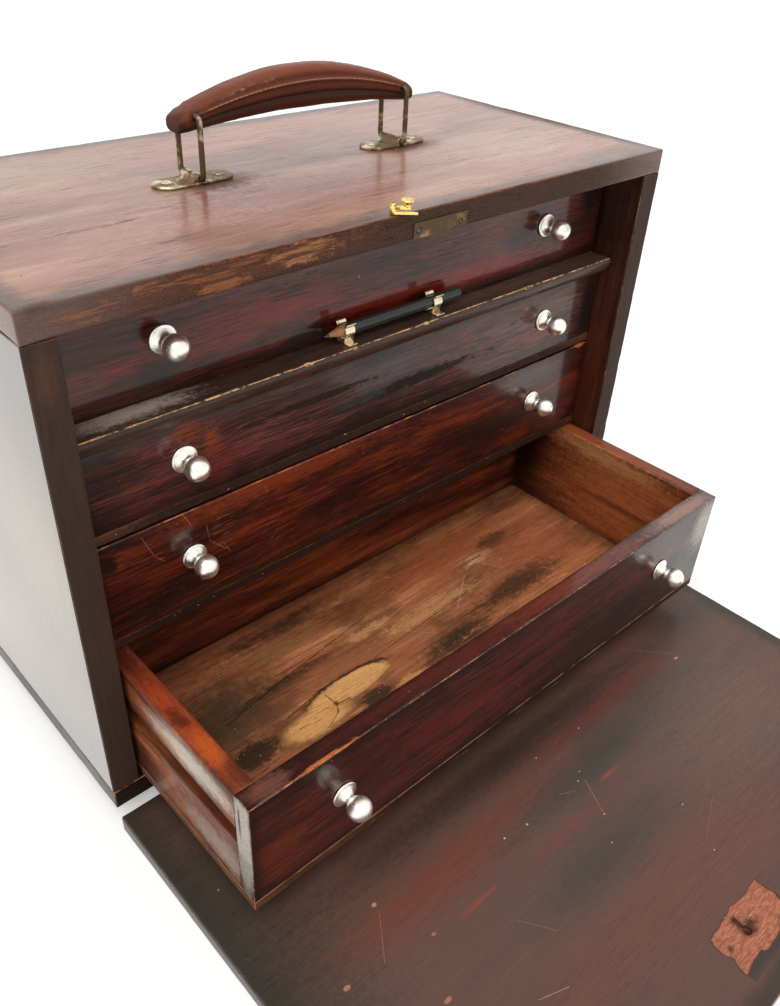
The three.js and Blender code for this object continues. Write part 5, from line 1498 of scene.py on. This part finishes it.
# A plate: a stadium carried up, a folded gable that wraps the barrel, the barrel as a ring turned about Y;
# the gable's side rises as foot + (top - foot) t^1.5
def plateShells(low, high):
    middleX, middleY = middleOf(low, high)[:2]
    halfWidth = (high[1] - low[1]) / 2
    half = (high[0] - low[0]) / 2 - halfWidth
    ends = np.linspace(-np.pi / 2, np.pi / 2, 19)
    cap = np.stack([half + halfWidth * np.cos(ends), halfWidth * np.sin(ends)], -1)
    straight = np.linspace(half, -half, 12)[1:-1]
    edgeLine = np.stack([straight, np.full(10, halfWidth)], -1)
    outline = np.vstack([cap, edgeLine, -cap, -edgeLine]) + (middleX, middleY)
    plate = carriedShell(outline, np.full(len(outline), 5.0), 2, low[2],
                         low[2] + handleLook["plateThickness"], handleLook["edge"], 1.0)
    slope = np.linspace(0, 1, 9)
    gableHalf, foot = handleLook["gableHalf"], handleLook["gableFoot"]
    gable = np.stack([-gableHalf + slope * (gableHalf - handleLook["ridgeHalf"]),
                      foot + (handleLook["gableTop"] - foot) * slope ** 1.5], -1)
    gable = np.vstack([gable, (gable * (-1, 1))[::-1]]) + (middleX, low[2])
    inset = halfWidth - handleLook["gableInset"]
    fold = carriedShell(gable, np.full(len(gable), 3.0), 1, middleY - inset, middleY + inset, 0.5, 2.0)
    r, bore, edge = handleLook["barrelRadius"], handleLook["boreRadius"], handleLook["barrelEdge"]
    width = 2 * halfWidth
    profile = [(bore, 0), (r - edge, 0), (r, edge), (r, width - edge), (r - edge, width), (bore, width)]
    barrel = ringShell(profile, (middleX, middleY - halfWidth, low[2] + r), (0, 1, 0), 36)
    return [plate, fold, barrel]


for side in ("left", "right"):
    node = f"handle_plate_{side}"
    low, high = boxOf(node)
    x, y = middleOf(low, high)[:2]
    addPiece(node + "_worn", plateShells(low, high), plateBrass, "case", [node])
    headZ = low[2] + handleLook["plateThickness"] + handleLook["screwUp"]
    screws = [screwShell((x + sign * handleLook["screwOut"], y, headZ), (0, 0, 1), handleLook["screwRadius"],
                         0.5 + sign) for sign in (-1, 1)]
    addPiece(f"handle_screws_{side}", screws, screwSteel, "case")
    barrelZ, reach, footEnd = low[2] + handleLook["barrelRadius"], handleLook["reach"], handleLook["footEnd"]
    top = barrelZ + handleLook["legHeight"]
    corners = [(x, y - footEnd, barrelZ), (x, y - reach, barrelZ), (x, y - reach, top), (x, y + reach, top),
               (x, y + reach, barrelZ), (x, y + footEnd, barrelZ)]
    path = bentPath(corners, handleLook["bend"])
    thick = handleLook["wireRadius"] * (0.97 + 0.05 * valueNoise(path, 6.0, len(side)))
    wire = wireShell(path, thick, (1, 0, 0))
    addPiece(f"bail_{side}_wire", [wire], wireBrass, f"bail_{side}", [f"bail_{side}"])

gripLook = {
    "length": 169.6, "endHalfWidth": 8.8, "midHalfWidth": 10.2, "endHalfHeight": 5.0, "midHalfHeight": 11.6,
    "rise": 11.8, "endDrop": 4.4, "squareness": 2.7, "endSquareness": 15.0, "span": 150.4, "rings": 240,
    "sides": 168, "welt": 0.31, "weltWidth": 0.06, "weltHeight": 1.0, "groove": 0.53, "grooveWidth": 0.12,
    "grooveDepth": 0.9, "crease": -0.34, "creaseWidth": 0.14, "creaseDepth": 1.1, "panelDepth": 0.5,
    "stitchDepth": 0.2, "stitchPitch": 3.2, "stitchedShare": 0.8, "threadRadius": 0.3, "lumpLength": 9.0,
    "lumpHeight": 0.7, "pebbleLength": 3.0, "pebbleHeight": 0.22, "dimpleRadius": 2.6, "dimpleDepth": 1.1,
    "ringRadius": 4.4, "ringWidth": 1.4, "ringHeight": 0.35, "mostPush": 0.75,
}


def bell(value, centre, width):  # e to the minus square of the distance in widths
    return np.exp(-((value - centre) / width) ** 2)


# The grip: sections |y/a|^n + |z/b|^n = 1 along X that swell and rise as 1 - x^2 and close at the ends as
# (1 - |x|^15)^(1/15), with a welt along each side, a crease below it and a dimple where each wire goes in.
# Arrays run along the grip in rows and round it in columns; "up" is z/b, from -1 below to 1 above
def gripParts():
    rings, sides, length = gripLook["rings"], gripLook["sides"], gripLook["length"]
    weltUp, grooveUp, creaseUp = gripLook["welt"], gripLook["groove"], gripLook["crease"]
    power, closing, pitch = 2 / gripLook["squareness"], gripLook["endSquareness"], gripLook["stitchPitch"]
    left, right = boxOf("bail_left"), boxOf("bail_right")
    centreX, centreY = middleOf(middleOf(*left), middleOf(*right))[:2]
    barZ = left[1][2] - handleLook["wireRadius"]
    place = np.sin(np.pi / 2 * 0.992 * np.linspace(-1, 1, rings))[:, None]
    outward = np.abs(place)
    turn = ringTurns(sides)
    swell = 1 - place ** 2
    close = (1 - outward ** closing) ** (1 / closing)
    endWidth, endHeight = gripLook["endHalfWidth"], gripLook["endHalfHeight"]
    halfWidth = (endWidth + (gripLook["midHalfWidth"] - endWidth) * swell) * close
    halfHeight = (endHeight + (gripLook["midHalfHeight"] - endHeight) * swell) * close
    cosine, sine = np.cos(turn), np.sin(turn)
    across = np.sign(cosine) * np.abs(cosine) ** power
    up = np.sign(sine) * np.abs(sine) ** power
    onFlank = np.abs(np.degrees(np.arctan2(sine, np.abs(cosine)))) < 60
    welt = bell(up, weltUp, gripLook["weltWidth"])
    groove = bell(up, grooveUp, gripLook["grooveWidth"])
    crease = bell(up, creaseUp, gripLook["creaseWidth"])
    panel = smoothStep(up, weltUp - 0.04, weltUp - 0.12) * smoothStep(up, creaseUp - 0.1, creaseUp)
    fadeEnds = smoothStep(outward, 0.96, 0.8)
    x = place * length / 2
    stitches = 0.5 + 0.5 * np.cos(2 * np.pi * x / pitch)
    dents = gripLook["grooveDepth"] * groove + gripLook["creaseDepth"] * crease
    push = gripLook["weltHeight"] * welt - dents * (0.5 + 0.5 * swell) - gripLook["panelDepth"] * panel
    push = fadeEnds * (push - gripLook["stitchDepth"] * stitches * welt)
    y, z = halfWidth * across, halfHeight * up
    lift = gripLook["rise"] * swell - gripLook["endDrop"]
    rawPoints = np.stack([np.broadcast_to(x, y.shape), y, z], -1)
    lumps = (valueNoise(rawPoints * (0.5, 1, 1), gripLook["lumpLength"], 31) - 0.5) * gripLook["lumpHeight"]
    pebbles = (valueNoise(rawPoints, gripLook["pebbleLength"], 33) - 0.5) * gripLook["pebbleHeight"]
    push = push + (lumps + pebbles) * (1 + 0.4 * smoothStep(outward, 0.72, 0.9))
    toHole = np.hypot(np.abs(x) - gripLook["span"] / 2, z + lift)
    dimple = bell(toHole, 0, gripLook["dimpleRadius"]) * onFlank
    ring = bell(toHole, gripLook["ringRadius"], gripLook["ringWidth"]) * onFlank
    push = push - gripLook["dimpleDepth"] * dimple + gripLook["ringHeight"] * ring
    radial = unit(np.stack([np.zeros_like(y), y / halfWidth ** 2, z / halfHeight ** 2], -1))
    points = rawPoints + radial * np.minimum(push, gripLook["mostPush"])[..., None]
    points[..., 2] += lift
    points = points + (centreX, centreY, barZ)
    # painted shade: the underside below the welt and the lower roll go darker, with the creases, the groove,
    # the dimples and the ends
    below = smoothStep(up, weltUp, weltUp - 0.1)
    roll = smoothStep(up, creaseUp + 0.05, creaseUp - 0.1)
    creasesAndUndersideShade = fadeEnds * (0.8 * crease + 0.35 * groove) + 0.4 * below + 0.3 * roll + 0.9 * dimple
    creasesAndUndersideShade = np.clip(creasesAndUndersideShade + 0.5 * smoothStep(outward, 0.93, 0.99), 0, 1)
    # rubbed wear with painted top light on the crown and the welt
    rubbed = np.clip(fadeEnds * 0.35 * welt + smoothStep(up, 0.6, 0.85) * swell, 0, 1)
    # painted highlight: a streak along the crown's left shoulder, broken into patches, with scuffs on the
    # welt
    highlightStreak = bell(up, 0.7 + 0.1 * place, 0.08) * smoothStep(np.abs(place + 0.5), 0.42, 0.1)
    patches = valueNoise(rawPoints * (0.6, 1.5, 1.5), 2.2, 35)
    scuffed = np.clip(1.6 * highlightStreak * patches + 0.25 * fadeEnds * welt, 0, 1)
    extras = {"crease": creasesAndUndersideShade.ravel(), "rubbed": rubbed.ravel(), "scuffed": scuffed.ravel(), "seed": 0.0}
    body = (points.reshape(-1, 3), tubeFaces(rings, sides), extras)
    threads = []
    firstX = centreX - length * gripLook["stitchedShare"] / 2 + 0.5
    for sign in (-1, 1):
        onSide = np.flatnonzero(cosine * sign > 0.3)
        column = onSide[np.argmin(np.abs(up[onSide] - weltUp))]
        lineX, lineY, lineZ = points[:, column].T
        for index in range(int(length * gripLook["stitchedShare"] / pitch)):
            places = firstX + index * pitch + np.array([0, 0.5, 1.2, 1.9, 2.3])
            lifted = np.interp(places, lineX, lineY) + np.array([-0.3, 0.1, 0.2, 0.1, -0.3]) * sign
            path = np.stack([places, lifted, np.interp(places, lineX, lineZ)], -1)
            threads.append(wireShell(path, gripLook["threadRadius"], (0, 0, 1), 6))
    return body, threads


gripBody, gripThreads = gripParts()
addPiece("handle_grip_leather", [gripBody], gripLeather, "grip", ["handle_grip"])
addPiece("handle_grip_stitches", gripThreads, stitchThread, "grip")
print("handle built")


# Floor, light and camera

stageLook = {"floorSize": 24.0, "floorDrop": 0.0003, "floorDark": (0.88, 0.88, 0.87, 1), "floorLift": 0.3,
             "floorLight": (0.91, 0.91, 0.9, 1), "worldLight": 0.5, "sunPower": 1.6, "sunAngle": 50.0,
             "sunFrom": (-0.35, -0.3, 0.88), "sunColour": (1.0, 0.985, 0.96)}
white = (1, 1, 1, 1)


def seenDirectly(tree):  # 1 for rays from the camera, off gloss and through glass
    rays = tree.add("LightPath")
    both = tree.plus(rays["Is Camera Ray"], rays["Is Glossy Ray"])
    return tree.plus(both, rays["Is Transmission Ray"], clamp=True)


floorMaterial = bpy.data.materials.new("paleFloor")
floorMaterial.use_nodes = True
tree = NodeTree(floorMaterial.node_tree)
tree.raw.nodes.clear()
grain = tree.noise(tree.add("TexCoord")["Object"], 40.0, 3.0)
paint = tree.add("BsdfDiffuse", {0: tree.mix(grain, stageLook["floorDark"], stageLook["floorLight"])})[0]
glow = tree.add("Emission", {0: white, 1: tree.times(seenDirectly(tree), stageLook["floorLift"])})[0]
tree.add("OutputMaterial", {0: tree.add("AddShader", {0: paint, 1: glow})[0]})
half = stageLook["floorSize"] / 2
floorMesh = bpy.data.meshes.new("studioFloor")
corners = [(x * half, y * half, -stageLook["floorDrop"]) for x, y in ((-1, -1), (1, -1), (1, 1), (-1, 1))]
floorMesh.from_pydata(corners, [], [(0, 1, 2, 3)])
floorMesh.materials.append(floorMaterial)
floor = addObject("studioFloor", floorMesh)

world = bpy.data.worlds.new("studioWorld")
bpy.context.scene.world = world
world.use_nodes = True
tree = NodeTree(world.node_tree)
tree.raw.nodes.clear()
strength = tree.fade(seenDirectly(tree), 0.0, 1.0, stageLook["worldLight"], 1.0)
tree.add("OutputWorld", {0: tree.add("Background", {0: white, 1: strength})[0]})

sun = bpy.data.lights.new("softSun", "SUN")
sun.energy = stageLook["sunPower"]
sun.angle = math.radians(stageLook["sunAngle"])
sun.color = stageLook["sunColour"]
addObject("softSun", sun).rotation_euler = Vector(stageLook["sunFrom"]).to_track_quat("Z", "Y").to_euler()

cameraLook = {"place": (-343.6, -289.25, 478.3), "yaw": 44.10, "pitch": 35.32, "roll": -2.99,
              "focalPixels": 904.5, "longSide": 1006, "sensor": 36.0, "near": 0.02, "far": 60}
yaw, pitch, roll = (math.radians(cameraLook[key]) for key in ("yaw", "pitch", "roll"))
forward = Vector((math.sin(yaw) * math.cos(pitch), math.cos(yaw) * math.cos(pitch), -math.sin(pitch)))
levelRight = Vector((math.cos(yaw), -math.sin(yaw), 0))
levelDown = forward.cross(levelRight)
rightward = math.cos(roll) * levelRight + math.sin(roll) * levelDown
downward = -math.sin(roll) * levelRight + math.cos(roll) * levelDown
lens = bpy.data.cameras.new("photoCamera")
lens.sensor_width = cameraLook["sensor"]
lens.lens = cameraLook["focalPixels"] * cameraLook["sensor"] / cameraLook["longSide"]
lens.clip_start = cameraLook["near"]
lens.clip_end = cameraLook["far"]
camera = addObject("photoCamera", lens)
turn = Matrix((rightward, -downward, -forward)).transposed()
camera.matrix_world = Matrix.Translation(Vector(cameraLook["place"]) * mm) @ turn.to_4x4()
bpy.context.scene.camera = camera
bpy.context.scene.view_settings.view_transform = "Standard"
print("stage, light and camera set")
